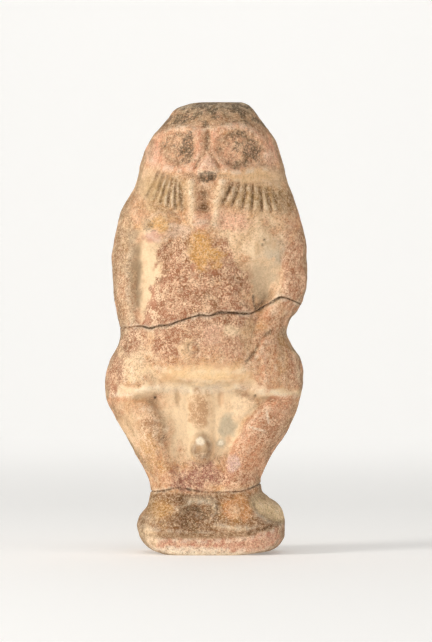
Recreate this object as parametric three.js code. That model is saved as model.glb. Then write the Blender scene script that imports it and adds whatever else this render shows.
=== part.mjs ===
// Mould-pressed clay statuette of a squat, bow-legged, lion-maned dwarf god on its own low plinth.
// Units are mm, the front faces -Y, +Z is up, and the origin is the centre of the box at the underside.
import * as THREE from 'three';

// Driving dimensions.
const HEIGHT = 150;           // underside of the plinth to the crown
const BODY_WIDTH = 67.4;      // across the hips, about the same as across the elbows
const BODY_DEPTH = 37;        // belly to buttocks
const PLINTH_WIDTH = 49.3;
const PLINTH_DEPTH = 36.4;
const PLINTH_HEIGHT = 18;     // underside to the ankles
const LEFT_STROKES = 6;       // grooves between the locks of the mane, left of the chin in the picture
const RIGHT_STROKES = 8;
const STROKE_DEPTH = 1.1;
const BREAK_WIDTH = 0.9;      // open mouth of the old breaks across the waist and the ankles
const BREAK_DEPTH = 0.9;
const ANKLE_BREAK_DEPTH = 0.45;

// The carving below is drawn on a figure 150 high, 67.4 wide and 37 deep over a plinth 49.3 wide,
// 36.4 deep and 18 high. placeOf() carries each drawn point to the sizes above.
const DRAWN = { height: 150, width: 67.4, depth: 37, plinthWidth: 49.3, plinthDepth: 36.4, plinthHeight: 18 };

const lerp = (a, b, t) => a + (b - a) * t;
const clamp = (t, a, b) => Math.min(Math.max(t, a), b);

function ease(t) {
  const c = clamp(t, 0, 1);
  return c * c * (3 - 2 * c);
}

function placeOf(x, y, z) {
  const body = ease((z - 14) / 10);
  const wide = lerp(PLINTH_WIDTH / DRAWN.plinthWidth, BODY_WIDTH / DRAWN.width, body);
  const deep = lerp(PLINTH_DEPTH / DRAWN.plinthDepth, BODY_DEPTH / DRAWN.depth, body);
  const low = DRAWN.plinthHeight;
  const up = z < low
    ? z * PLINTH_HEIGHT / low
    : PLINTH_HEIGHT + (z - low) * (HEIGHT - PLINTH_HEIGHT) / (DRAWN.height - low);
  return [x * wide, y * deep, up];
}

// A smooth curve through [height, value] stations that never swings past them.
function profile(stations) {
  const s = [...stations].sort((a, b) => a[0] - b[0]);
  const gap = [];
  const rise = [];
  for (let i = 0; i + 1 < s.length; i++) {
    gap.push(s[i + 1][0] - s[i][0]);
    rise.push((s[i + 1][1] - s[i][1]) / gap[i]);
  }
  const slope = s.map((_, i) => {
    if (i === 0) return rise[0];
    if (i === s.length - 1) return rise[i - 1];
    if (rise[i - 1] * rise[i] <= 0) return 0;
    const a = 2 * gap[i] + gap[i - 1];
    const b = gap[i] + 2 * gap[i - 1];
    return (a + b) / (a / rise[i - 1] + b / rise[i]);
  });
  return (z) => {
    const q = clamp(z, s[0][0], s[s.length - 1][0]);
    let i = 0;
    while (i < gap.length - 1 && q > s[i + 1][0]) i++;
    const t = (q - s[i][0]) / gap[i];
    const a = (2 * t ** 3 - 3 * t ** 2 + 1) * s[i][1] + (t ** 3 - 2 * t ** 2 + t) * gap[i] * slope[i];
    return a + (3 * t ** 2 - 2 * t ** 3) * s[i + 1][1] + (t ** 3 - t ** 2) * gap[i] * slope[i + 1];
  };
}

// Blend two heights of relief into one another over a band k thick.
function merge(a, b, k) {
  const g = Math.max(k - Math.abs(a - b), 0) / k;
  return Math.max(a, b) + g * g * k / 4;
}

// 1 at the middle, rounding off to the rim at q = 1, then falling away steeply.
function dome(q) {
  const knee = 0.93;
  const low = Math.sqrt(1 - knee * knee);
  return q < knee ? Math.sqrt(1 - q * q) : low - (q - knee) * knee / low;
}

// Upright rounded form: its middle, half width and crest each follow the height.
function column(middle, half, crest, fall) {
  const m = profile(middle);
  const h = profile(half);
  const c = profile(crest);
  return (x, z) => c(z) - fall * (1 - dome(Math.abs(x - m(z)) / h(z)));
}

function boss(cx, cz, rx, rz, crest, fall) {
  return (x, z) => crest - fall * (1 - dome(Math.hypot((x - cx) / rx, (z - cz) / rz)));
}

function pad(x, z, cx, cz, rx, rz, h) {
  const q = ((x - cx) / rx) ** 2 + ((z - cz) / rz) ** 2;
  return q < 1 ? h * (1 - q) ** 2 : 0;
}

function alongLine(x, z, ax, az, bx, bz) {
  const dx = bx - ax;
  const dz = bz - az;
  const t = clamp(((x - ax) * dx + (z - az) * dz) / (dx * dx + dz * dz), 0, 1);
  return [Math.hypot(x - ax - dx * t, z - az - dz * t), t];
}

// Soft ridge (or groove, where h is below 0) along a line of points.
function ridge(x, z, points, half, h) {
  let d = 99;
  for (let i = 0; i + 1 < points.length; i++) {
    d = Math.min(d, alongLine(x, z, ...points[i], ...points[i + 1])[0]);
  }
  return h * Math.exp(-((d / half) ** 2));
}

// Outline of the figure and plinth as seen from the front.
const leftEdge = profile([
  [0, -15], [0.7, -17.4], [2.7, -20.2], [5.7, -22.2], [9, -23], [11.5, -22.4], [16, -19.4], [20.7, -18.4],
  [24, -19], [29.3, -21.7], [37.3, -26], [45.3, -30.4], [50.7, -33.1], [54.5, -33.7], [59, -33.3],
  [64, -32], [69.3, -29.2], [72.5, -28.6], [80, -29.7], [88, -31], [97, -31.4], [104, -30.5],
  [112.7, -28.6], [122.7, -23.4], [130.7, -21.4], [136, -19.3], [139, -17.6], [142, -14.8], [144.7, -12.4],
  [146.7, -11], [148, -9.6], [149, -6.9], [149.7, -4.2], [150, -1],
]);
const rightEdge = profile([
  [0, 15], [1, 22], [2.7, 24.6], [5.7, 26.2], [9.3, 26.3], [13.3, 25.7], [16, 24.1], [18.3, 20.7],
  [20.7, 18.6], [24, 18.2], [26.7, 19], [32, 21.7], [40, 27], [45.3, 29.5], [50.7, 31.3], [55, 32.3],
  [59.3, 32.5], [64, 31.6], [69.3, 28.6], [73.3, 27], [77.3, 28], [80, 30.3], [84, 32.4],
  [88, 33.4], [94, 33.7], [101.3, 33.5], [112, 31.2], [122.7, 27.6], [128.7, 25.9], [133.3, 24.6], [137.3, 23.2], [140.7, 20.9],
  [143.3, 18.9], [146.7, 16.5], [148, 15.4], [149, 14.3], [149.7, 12.8], [150, 11.7],
]);
// How square the cross-section is: high for the boxy plinth, lower for the rounded head.
const squareness = profile([[0, 7], [8, 6], [18, 4.2], [30, 3.4], [50, 3.8], [80, 4], [110, 3.6], [125, 3], [150, 2.4]]);

// The flat ground of the front, between the limbs.
const ground = profile([
  [0, 18], [6, 18], [9, 16.4], [14, 13.4], [21, 11], [28, 10.4], [38, 10.2], [46, 10.6], [53, 11.6],
  [58, 13.6], [66, 14.2], [76, 12.6], [84, 10.6], [94, 10.8], [102, 12], [108, 13.2], [124, 13], [150, 10],
]);
const torso = column(
  [[50, 1.5], [57, 1], [68, -1.7], [76, -2.2], [87, -2.2], [102, -1.6], [114, -0.6]],
  [[50, 21], [57, 20.5], [66, 18.6], [76, 18], [87, 15.2], [96, 12.4], [102, 11], [114, 10]],
  [[46, 6], [52, 11], [55, 14.4], [57.5, 17.6], [61, 19.6], [67, 20.2], [75, 19.2], [85, 17.3], [95, 16.2], [105, 15.8], [112, 14.6], [118, 7]],
  5.2,
);
// The sides of the torso slope out into the recesses beside it.
const torsoSlope = column(
  [[70, -2.2], [87, -2], [102, -1.4], [114, -0.6]],
  [[70, 22], [76, 21.8], [87, 19.6], [96, 17.4], [102, 16], [114, 15]],
  [[64, 8], [70, 13.2], [76, 15], [85, 14.4], [95, 13.6], [104, 13.6], [112, 12.4], [118, 7]],
  4.6,
);
const leftArm = column(
  [[50, -23.4], [64, -23.8], [72, -25.4], [80, -27.6], [90, -28.8], [100, -28.4], [108, -26], [116, -22.8]],
  [[50, 5.8], [64, 6], [74, 5.8], [90, 5.8], [100, 6.2], [108, 7.2], [116, 8.4]],
  [[46, 5], [50, 11.4], [54, 14.8], [58, 16.6], [64, 16.9], [71, 16.2], [80, 14.4], [90, 13.8], [100, 13.8], [110, 14.4], [117, 13], [123, 7]],
  4.4,
);
const rightArm = column(
  [[78, 29], [88, 30], [98, 30.4], [106, 28.6], [112, 26.4], [120, 23.4]],
  [[78, 4.2], [88, 5.2], [98, 5.4], [106, 6.6], [112, 8], [120, 9.2]],
  [[73, 5], [77, 11], [82, 13.6], [88, 14.4], [97, 14], [106, 14.2], [112, 14.4], [118, 13], [124, 7]],
  4.2,
);
const rightForearm = column(
  [[50, 21.4], [60, 20.8], [67, 19.6], [72, 20], [77, 22], [81, 24.6], [85, 27.2], [90, 29]],
  [[50, 6.6], [60, 6.2], [67, 5.4], [73, 5], [81, 5.8], [90, 5.4]],
  [[46, 5], [50, 11.4], [54, 15.2], [58, 17.3], [66, 17.6], [74, 17], [81, 15.8], [85, 14.8], [89, 12], [92, 8]],
  3.8,
);
const leftLeg = column(
  [[16, -13], [22, -13.2], [30.7, -16.9], [37.3, -20], [42.3, -21.4], [46.7, -23.2], [51.3, -26], [58, -28]],
  [[16, 5.8], [22, 5.4], [30.7, 5.8], [37.3, 6.4], [42.3, 8.2], [46.7, 8.8], [51.3, 8.2], [58, 8]],
  [[10, 8], [16, 12.6], [21, 12.8], [28, 13.6], [35, 15.2], [41, 16.3], [47, 15.9], [52, 14.4], [58, 12.2], [63, 6]],
  3.8,
);
const rightLeg = column(
  [[16, 11.6], [22.3, 11.8], [30.7, 14.4], [35.7, 16.6], [40.7, 19.4], [44.7, 22], [50.7, 26.2], [58, 27.8]],
  [[16, 6.8], [22.3, 6.5], [30.7, 6.5], [35.7, 7], [40.7, 7.3], [44.7, 7.4], [50.7, 6.8], [58, 7]],
  [[10, 8], [16, 12.8], [21, 13], [28, 13.8], [35, 15.4], [41, 16.3], [47, 15.9], [52, 14.4], [58, 12.4], [63, 6]],
  3.8,
);
const tail = column(
  [[26, -1.2], [35, -1.3], [44, -1.7], [58, -2]],
  [[26, 3], [35, 3.6], [44, 3.6], [58, 4]],
  [[28, 7], [33, 10.2], [38, 11.4], [46, 11.8], [52, 12.6], [58, 12]],
  2.2,
);
const leftFoot = column(
  [[4, -14.6], [10, -14.2], [15, -13.7], [24, -13.2]],
  [[4, 7.4], [10, 6.8], [15, 6.4], [24, 5.4]],
  [[4, 19.4], [8, 18.4], [11, 17.4], [15, 15.6], [19, 13.4], [23, 12], [27, 7]],
  2.8,
);
const rightFoot = column(
  [[4, 12.8], [10, 12.2], [15, 11.8], [24, 11.4]],
  [[4, 9], [10, 8.2], [15, 7.6], [24, 6.4]],
  [[4, 19.4], [8, 18.6], [11, 17.6], [15, 15.8], [19, 13.6], [23, 12.2], [27, 7]],
  2.8,
);
const leftHip = boss(-30.5, 59, 8, 9.5, 12.6, 4);
const rightHip = boss(29.5, 60, 7.5, 9.5, 13.4, 4);
const leftBreast = boss(-15, 108, 6.2, 5.6, 16.3, 3.2);
const rightBreast = boss(13.6, 105.6, 9.4, 9.4, 15.9, 3.4);
const mask = boss(2.2, 129, 27.5, 26, 16.6, 10.5);
const muzzle = boss(0.8, 124.5, 12, 9.5, 17.8, 4.6);
const nose = column(
  [[122, 0.6], [128, 0.6], [136, 0.8]],
  [[122, 3.6], [127, 3.5], [131, 2.4], [136, 1.4]],
  [[119, 9], [122, 15], [123.6, 18], [125.6, 19.6], [128, 19.4], [132, 17.8], [136, 16.4], [139, 14], [142, 8]],
  1.9,
);
const tailBulb = boss(-1.3, 35.2, 3.7, 4.9, 13.2, 2.4);

// Mane: two fans of grooves, each given by its ends along the top and the bottom edge.
function fan(count, top0, top1, bottom0, bottom1, sag) {
  const out = [];
  for (let i = 0; i < count; i++) {
    const f = count > 1 ? i / (count - 1) : 0.5;
    const arch = 4 * f * (1 - f);
    out.push([
      lerp(top0[0], top1[0], f), lerp(top0[1], top1[1], f),
      lerp(bottom0[0], bottom1[0], f), lerp(bottom0[1], bottom1[1], f) - sag * arch,
    ]);
  }
  return out;
}
const leftFan = fan(LEFT_STROKES, [-15.3, 126.2], [-8.4, 122.4], [-19.3, 118.8], [-7.6, 113.8], 0.8);
const rightFan = fan(RIGHT_STROKES, [8.6, 122.4], [24.5, 119.8], [5.6, 116.2], [28, 114.2], 1.5);
const STROKE_HALF = 0.7;

function maneGrooves(x, z) {
  let deepest = 0;
  for (const line of [...leftFan, ...rightFan]) {
    const [d, t] = alongLine(x, z, ...line);
    const depth = STROKE_DEPTH * (0.6 + 0.4 * Math.sin(Math.PI * t));
    deepest = Math.max(deepest, depth * Math.exp(-((d / STROKE_HALF) ** 2)));
  }
  return deepest;
}

function socket(x, z, cx, cz, rx, rz) {
  const q = Math.hypot((x - cx) / rx, (z - cz) / rz);
  const hollow = q < 1 ? -1.2 * (1 - q * q) : 0;
  const rim = 0.8 * Math.exp(-(((q - 1.16) * rx / 1.7) ** 2));
  return hollow + rim + pad(x, z, cx - 0.4, cz + 0.2, rx * 0.9, rz * 0.86, 1.2);
}

// Height of the front relief ahead of the mid plane, before the edges are rounded off.
function frontRelief(x, z) {
  let y = ground(z);
  y = merge(y, torsoSlope(x, z), 3);
  y = merge(y, torso(x, z - 2.4 * ((x - 2) / 20) ** 2 * ease((66 - z) / 8)), 2.4);
  y = merge(y, leftBreast(x, z), 2.4);
  y = merge(y, rightBreast(x, z), 3);
  y = merge(y, leftArm(x, z), 3.2);
  y = merge(y, rightArm(x, z), 3);
  y = merge(y, rightForearm(x, z), 2.6);
  y = merge(y, leftHip(x, z), 1.4);
  y = merge(y, rightHip(x, z), 1.4);
  y = merge(y, leftLeg(x, z), 1.8);
  y = merge(y, rightLeg(x, z), 1.8);
  y = merge(y, tail(x, z), 2.8);
  y = merge(y, tailBulb(x, z), 1);
  y = merge(y, leftFoot(x, z), 2);
  y = merge(y, rightFoot(x, z), 2);
  const rise = 4.2 * clamp((x - 4) / 22, 0, 1) ** 2;
  y = merge(y, 20 - 12 * ease((z - rise - 5.4) / 3.4), 0.9);
  y = merge(y, mask(x, z), 2.6);
  y = merge(y, muzzle(x, z), 2.6);
  // Recesses beside the torso, and the hollow inside the left knee.
  y -= pad(x, z, 18, 86, 6, 9, 1.9) + pad(x, z, -22.3, 89, 4.5, 17, 1.7);
  y -= ridge(x, z, [[-22, 51.8], [-17, 49.6], [-14.3, 44.6], [-14.6, 38.4]], 1.7, 1.3);
  // Crease and ridge where the hips meet the legs.
  y += ridge(x, z, [[-33, 52.4], [-24, 53.1], [-16, 55]], 1.4, 1.1);
  y += ridge(x, z, [[10, 55.2], [18, 53.6], [31, 52]], 1.4, 1.1);
  y -= ridge(x, z, [[-10, 54.6], [-9.6, 50.4]], 0.9, 0.25);
  y -= ridge(x, z, [[4.4, 53], [4.6, 49]], 0.9, 0.25) + ridge(x, z, [[16, 51.4], [22, 51]], 1, 0.6);
  // Fingers of the two hands.
  for (const [ax, az, bx, bz] of [[-26, 62, -25.4, 56], [-22.6, 62, -22.4, 56], [17.6, 64, 18.2, 56.5], [21, 65, 21.8, 56.5], [24.2, 63, 25, 57]]) {
    y -= ridge(x, z, [[ax, az], [bx, bz]], 1, 0.4);
  }
  y -= ridge(x, z, [[21.9, 73.8], [18.2, 71.2], [16.2, 67], [13.4, 64]], 0.9, 0.6);
  // Face.
  y += ridge(x, z, [[-18, 137], [-14, 140.2], [-8.4, 141.2], [-2, 139.6], [1.3, 139.4], [6.4, 141.6], [13, 141.6], [18.6, 137.6], [22, 134]], 1.7, 0.9);
  y += socket(x, z, -8.9, 134.2, 5.9, 6.1);
  y += socket(x, z, 11, 133.7, 7.7, 6.6);
  y = merge(y, nose(x, z), 1.4);
  y -= ridge(x, z, [[0.7, 139.2], [0.5, 133.8]], 1.1, 1.1);
  y -= ridge(x, z, [[-0.6, 132], [-3.4, 127.4]], 0.9, 0.5) + ridge(x, z, [[1.8, 132], [4.6, 127.4]], 0.9, 0.5);
  y -= pad(x, z, -1.3, 124, 1.9, 1.7, 0.8) + pad(x, z, 2.1, 124.2, 1.9, 1.7, 0.8);
  y += ridge(x, z, [[-4, 126.9], [-9, 126.5], [-14.5, 127.8], [-18.4, 130]], 1.6, 0.8);
  y += ridge(x, z, [[4.6, 126.4], [9.6, 125.6], [16.4, 126], [21, 127.8]], 1.6, 0.8);
  y += pad(x, z, -17.8, 132.4, 3.4, 4.8, 1.8) + pad(x, z, 21.8, 132.2, 3.8, 4.6, 1.9);
  y -= ridge(x, z, [[18.6, 128.6], [23, 128]], 0.9, 0.6);
  y += ridge(x, z, [[-4.8, 123.4], [-9.4, 124.6], [-14, 126.6]], 1.2, 0.5);
  y += ridge(x, z, [[4.8, 123.4], [11.4, 123.6], [18.6, 123.8], [24.4, 121.4]], 1.3, 0.7);
  // Mane panels, with the grooves between their locks.
  y += 0.9 * Math.exp(-(((x + 12.8) / 7.6) ** 4) - ((z - 119.6) / 6) ** 4);
  y += 0.9 * Math.exp(-(((x - 16.4) / 11.4) ** 4) - ((z - 117.6) / 4.8) ** 4);
  y -= maneGrooves(x, z);
  // Strands beside the chin, the tongue hollow, the beard's knob.
  y += ridge(x, z, [[-5.1, 122.2], [-4.8, 116], [-4.3, 109.4]], 1.6, 1);
  y += ridge(x, z, [[5.2, 121.8], [3.5, 116], [2.9, 109]], 1.7, 0.9);
  y -= ridge(x, z, [[-0.5, 118.6], [-0.6, 114.4]], 2, 1.6);
  y += pad(x, z, -1.3, 110, 4.3, 4.6, 1.7);
  // Navel: a ring pressed into the belly.
  y -= 0.5 * Math.exp(-(((Math.hypot(x + 4, z - 68.3) - 1.7) / 0.75) ** 2));
  // Plinth: the ledge between the feet and the line along its front.
  y += ridge(x, z, [[-8.6, 15.2], [-5.2, 17.2], [-1, 17.6], [2.6, 16.2], [2.8, 13.4], [0.8, 11.8]], 1.5, 1.4);
  y -= ridge(x, z, [[-7.2, 15], [-3.4, 15.2], [-0.8, 13.4], [0.8, 12]], 0.8, 1);
  y -= ridge(x, z, [[-18, 6.8], [-8, 6.2], [0, 5.8], [13, 6.8], [19.4, 8.2], [26, 10]], 0.9, 0.7);
  y += ridge(x, z, [[3, 10.2], [8, 9.4], [13, 9]], 1.1, 0.5);
  y += pad(x, z, 9.6, 15, 4.6, 4, 0.8) - pad(x, z, -3, 9.8, 5.4, 3.2, 0.7);
  // Chip lost from the shoulder of the plinth, right of the foot.
  y -= 1.7 * Math.exp(-((alongLine(x, z, 17.6, 17, 24.2, 12.8)[0] / 2.8) ** 6));
  return y;
}

// The plain back: nape, shoulders, small of the back, buttocks, calves, plinth.
const backGround = profile([
  [0, 15.4], [3, 16.2], [9, 16.2], [14, 14.2], [21, 10.8], [30, 12], [40, 13.2], [47, 15.2],
  [54, 16.8], [61, 16.2], [70, 14], [79, 13.4], [92, 14.8], [106, 16], [114, 15.6], [128, 16],
  [138, 15], [150, 12.4],
]);

function backRelief(x, z) {
  let y = backGround(z);
  y += pad(x, z, -12, 54.5, 12, 11, 1.4) + pad(x, z, 12, 54.5, 12, 11, 1.4);
  y -= ridge(x, z, [[0, 48], [0, 58]], 2.6, 1);
  y -= ridge(x, z, [[0, 26], [0.4, 42]], 4.2, 2.4);
  y -= ridge(x, z, [[0, 68], [0.3, 98]], 4.8, 0.8);
  y += pad(x, z, -14, 98, 9, 12, 0.7) + pad(x, z, 14, 98, 9, 12, 0.7);
  // Lower edge of the mane across the nape.
  y += 0.7 * ease((z - 103 - 0.014 * x * x) / 4);
  return y;
}

// Old breaks: the rows of the mesh bend to follow them, and one row sinks to open each break.
const waistBreak = profile([
  [-33, 74.6], [-29.3, 74.7], [-22, 75.3], [-18.7, 74.6], [-15.2, 75.4], [-12.2, 75.6], [-8.7, 76.8], [-5, 78],
  [-1.6, 78.9], [1.2, 78.7], [4.5, 79.8], [13.7, 79.4], [15.7, 80.2], [19, 82.8], [22.6, 84.8], [26, 83.9], [30, 82.4], [33, 82],
]);
const ankleBreak = profile([
  [-18, 20.3], [-14, 20.9], [-9.6, 21.8], [-5, 21.2], [-1, 20.5], [2.5, 20.3], [7, 20.5], [11.6, 20.8],
  [14.5, 21.5], [16.5, 22.2], [19, 23.1],
]);
const WAIST_ROW = 79;
const ANKLE_ROW = 21;

function bend(x, row, behind) {
  const waist = behind ? lerp(74.7, 82.2, (x + 33) / 66) : waistBreak(x);
  const w = ease(1 - Math.abs(row - WAIST_ROW) / 15);
  const a = ease(1 - Math.abs(row - ANKLE_ROW) / 8);
  return row + w * (waist - WAIST_ROW) + a * (ankleBreak(x) - ANKLE_ROW);
}

const crown = (z) => Math.sqrt(Math.max(1 - clamp((z - 130) / 20, 0, 1) ** 3.6, 0));
const underside = profile([[0, 0.93], [0.9, 0.98], [2.6, 1], [150, 1]]);

function rounded(x, z, y) {
  const left = leftEdge(z);
  const right = rightEdge(z);
  const s = clamp(Math.abs(2 * x - left - right) / Math.max(right - left, 0.01), 0, 1);
  return y * Math.sqrt(Math.max(1 - s ** squareness(z), 0)) * crown(z) * underside(z);
}

// Rows of the mesh from the underside up, closer together where the carving is finer.
function rowsBetween(from, to, count) {
  return Array.from({ length: count }, (_, i) => lerp(from, to, i / count));
}

const half = BREAK_WIDTH / 2;
const ROWS = [
  0, 0.9, 2.6, ...rowsBetween(4.6, 20, 12),
  ANKLE_ROW - half, ANKLE_ROW, ANKLE_ROW + half,
  ...rowsBetween(23, 50, 13), ...rowsBetween(50, 61, 8), ...rowsBetween(61, 77.6, 8),
  WAIST_ROW - half, WAIST_ROW, WAIST_ROW + half,
  ...rowsBetween(81, 109, 12), ...rowsBetween(109, 128, 16), ...rowsBetween(128, 142, 10),
  142, 143.8, 145.6, 147.2, 148.5, 149.3, 149.8,
];

// Samples across one row, from the left edge to the right one: -1 to 1, crowded towards the edges.
function spread(count, crowding) {
  return Array.from({ length: count }, (_, i) => {
    const t = lerp(-1, 1, i / (count - 1));
    return (1 - crowding) * t + crowding * Math.sin(Math.PI * t / 2);
  });
}

// Across the mane the samples run down each groove and each lock, so the carving stays sharp.
function maneSamples(z) {
  const left = leftEdge(z);
  const right = rightEdge(z);
  const xs = [];
  const lineAt = ([tx, tz, bx, bz]) => tx + (bx - tx) * (tz - z) / (tz - bz);
  const l = leftFan.map(lineAt);
  const r = rightFan.map(lineAt);
  const between = (list) => list.flatMap((x, i) => (i ? [(list[i - 1] + x) / 2, x] : [x]));
  const outerLeft = l[0] - 1.1;
  const outerRight = r[r.length - 1] + 1.1;
  for (const f of [0, 0.025, 0.09, 0.22, 0.45, 0.72]) xs.push(lerp(left, outerLeft, f));
  xs.push(outerLeft, ...between(l));
  const a = l[l.length - 1];
  const b = r[0];
  for (let i = 1; i < 12; i++) xs.push(lerp(a, b, i / 12));
  xs.push(...between(r), outerRight);
  for (const f of [0.5, 0.85, 0.97, 1]) xs.push(lerp(outerRight, right, f));
  return xs.map((x) => (2 * x - left - right) / (right - left));
}

function frontSamples(row) {
  if (row > 110.5 && row < 127.5) return maneSamples(row);
  if (row > 127 && row < 143) return spread(43, 0.25);
  if (row >= 143) return spread(30, 0.5);
  if (row > 26 && row < 56) return spread(44, 0.15);
  return spread(35, 0.4);
}

const points = [];
const faces = [];

function addPoint(s, row, behind, sink) {
  const left = leftEdge(row);
  const right = rightEdge(row);
  const x = (left + right) / 2 + s * (right - left) / 2;
  const z = bend(x, row, behind);
  const l = leftEdge(z);
  const r = rightEdge(z);
  const px = (l + r) / 2 + s * (r - l) / 2;
  const relief = behind ? backRelief(px, z) : -frontRelief(px, z);
  const y = rounded(px, z, relief);
  // A break sinks straight into the body, square to a rounded box of this width and depth.
  const away = new THREE.Vector2(s ** 3 / (r - l), (y / 15) ** 3 / 30).normalize();
  // The break at the waist closes towards the left side.
  const depth = row === WAIST_ROW ? sink * lerp(0.45, 1, ease((px + 26) / 6)) : sink;
  points.push(placeOf(px - away.x * depth, y - away.y * depth, z));
  return points.length - 1;
}

// One ring: the front run and the back run share their two end points.
function ring(row) {
  const breakDepth = { [WAIST_ROW]: BREAK_DEPTH, [ANKLE_ROW]: ANKLE_BREAK_DEPTH };
  const sink = breakDepth[row] ?? 0;
  const front = frontSamples(row);
  const back = spread(row > 142 ? 12 : 15, 0.58);
  const frontIds = front.map((s) => addPoint(s, row, false, sink));
  const inner = back.slice(1, -1).map((s) => addPoint(s, row, true, sink));
  return {
    front: { s: front, ids: frontIds },
    back: { s: back, ids: [frontIds[0], ...inner, frontIds[frontIds.length - 1]] },
  };
}

const gapOf = (a, b) => new THREE.Vector3(...points[a]).distanceToSquared(new THREE.Vector3(...points[b]));

// Join two runs into a strip. Runs of equal length pair off, others follow their positions.
function strip(low, high, flip) {
  const add = (a, b, c) => faces.push(flip ? [a, c, b] : [a, b, c]);
  let i = 0;
  let j = 0;
  const paired = low.ids.length === high.ids.length;
  while (i < low.ids.length - 1 || j < high.ids.length - 1) {
    const canLow = i < low.ids.length - 1;
    const canHigh = j < high.ids.length - 1;
    if (paired) {
      const a = low.ids[i];
      const b = low.ids[i + 1];
      const c = high.ids[j + 1];
      const d = high.ids[j];
      if (gapOf(a, c) < gapOf(b, d)) {
        add(a, b, c);
        add(a, c, d);
      } else {
        add(a, b, d);
        add(b, c, d);
      }
      i++;
      j++;
    } else if (canLow && (!canHigh || low.s[i + 1] <= high.s[j + 1])) {
      add(low.ids[i], low.ids[i + 1], high.ids[j]);
      i++;
    } else {
      add(low.ids[i], high.ids[j + 1], high.ids[j]);
      j++;
    }
  }
}

const rings = ROWS.map(ring);
for (let k = 0; k + 1 < rings.length; k++) {
  strip(rings[k].front, rings[k + 1].front, false);
  strip(rings[k].back, rings[k + 1].back, true);
}

// Close the crown with one point.
const last = rings[rings.length - 1];
points.push(placeOf(5, -0.3, 150));
const top = points.length - 1;
for (const [run, flip] of [[last.front.ids, false], [last.back.ids, true]]) {
  for (let i = 0; i + 1 < run.length; i++) {
    faces.push(flip ? [run[i], top, run[i + 1]] : [run[i], run[i + 1], top]);
  }
}

// Close the underside flat: one broad triangle to stand on, and a band from it out to the rim.
const first = rings[0];
const rim = [...first.front.ids, ...first.back.ids.slice(1, -1).reverse()];
const seat = [[-10, 9], [10, 9], [0, -12]].map(([x, y]) => {
  points.push(placeOf(x, y, 0));
  return points.length - 1;
});
const nearestSeat = (id) => seat.reduce((best, other) => (gapOf(id, other) < gapOf(id, best) ? other : best));
faces.push([seat[0], seat[1], seat[2]]);
rim.forEach((id, i) => {
  const next = rim[(i + 1) % rim.length];
  const near = nearestSeat(id);
  const far = nearestSeat(next);
  faces.push([next, id, near]);
  if (far !== near) faces.push([next, near, far]);
});

const body = new THREE.BufferGeometry();
body.setAttribute('position', new THREE.Float32BufferAttribute(points.flat(), 3));
body.setIndex(faces.flat());
body.computeBoundingBox();
const box = body.boundingBox;
body.translate(-(box.min.x + box.max.x) / 2, -(box.min.y + box.max.y) / 2, -box.min.z);
body.computeVertexNormals();

const figurine = new THREE.Mesh(body, new THREE.MeshStandardMaterial({ color: 0xc99a7a, roughness: 0.9 }));
figurine.name = 'figurine';

const part = new THREE.Group();
part.name = 'deity_figurine';
part.add(figurine);

export default part;
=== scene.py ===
"""Clay statuette of a lion-maned dwarf god on its plinth: camera, light, fine surface, worn paint.

Lengths in the carving are mm on a figure 150 high, as in the solid. The scene itself is in metres.
"""

import bpy
import numpy as np
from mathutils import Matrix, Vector


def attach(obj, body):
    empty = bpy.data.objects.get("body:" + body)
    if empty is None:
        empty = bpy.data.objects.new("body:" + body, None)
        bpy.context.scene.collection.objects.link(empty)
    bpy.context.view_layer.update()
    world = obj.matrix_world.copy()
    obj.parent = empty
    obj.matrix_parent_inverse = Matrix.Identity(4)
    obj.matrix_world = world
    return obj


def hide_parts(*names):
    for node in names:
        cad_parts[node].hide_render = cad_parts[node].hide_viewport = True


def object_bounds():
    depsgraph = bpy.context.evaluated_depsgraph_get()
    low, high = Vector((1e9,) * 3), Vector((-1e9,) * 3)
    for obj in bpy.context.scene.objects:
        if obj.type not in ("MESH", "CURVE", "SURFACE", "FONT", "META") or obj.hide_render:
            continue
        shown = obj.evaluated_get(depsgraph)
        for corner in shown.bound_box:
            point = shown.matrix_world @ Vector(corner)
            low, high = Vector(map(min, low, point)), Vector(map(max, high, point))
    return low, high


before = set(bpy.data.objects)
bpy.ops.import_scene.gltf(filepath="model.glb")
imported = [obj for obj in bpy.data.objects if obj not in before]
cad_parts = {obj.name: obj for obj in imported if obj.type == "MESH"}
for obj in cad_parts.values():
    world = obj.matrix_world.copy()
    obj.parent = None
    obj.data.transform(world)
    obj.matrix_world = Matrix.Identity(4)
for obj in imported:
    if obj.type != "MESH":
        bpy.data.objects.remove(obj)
cad_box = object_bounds()
MM = 0.001

# Camera: square to the front, as the photograph, 1.2 m away.
CAMERA_DISTANCE = 1.2
FRAME_HEIGHT = 0.214          # what the picture's height takes in at the figure
PICTURE_MIDDLE = (0.0033, 0.077)
SENSOR = 36
camera_data = bpy.data.cameras.new("camera")
camera = bpy.data.objects.new("camera", camera_data)
bpy.context.scene.collection.objects.link(camera)
camera.location = (PICTURE_MIDDLE[0], -CAMERA_DISTANCE, PICTURE_MIDDLE[1])
camera.rotation_euler = (np.pi / 2, 0, 0)
camera_data.sensor_width = SENSOR
camera_data.lens = SENSOR * CAMERA_DISTANCE / FRAME_HEIGHT
camera_data.clip_end = 20
bpy.context.scene.camera = camera

# Surface resolution and the finer relief.
ROW_STEP = 0.48
FRONT_COLUMNS = 178
BACK_COLUMNS = 48
SIDE_COLUMNS = 17             # more of them round each side, where the surface turns away
SIDE_STARTS = 0.94
STROKE_DEPTH = 1.1            # grooves of the mane
STROKE_HALF = 0.7
BREAK_HALF = 0.26
BREAK_DEPTH = 0.9
ANKLE_BREAK_DEPTH = 0.45


def lerp(a, b, t):
    return a + (b - a) * t


def ease(t):
    """0 below 0, 1 above 1, and a smooth step between."""
    share = np.clip(t, 0, 1)
    return share * share * (3 - 2 * share)


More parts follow.
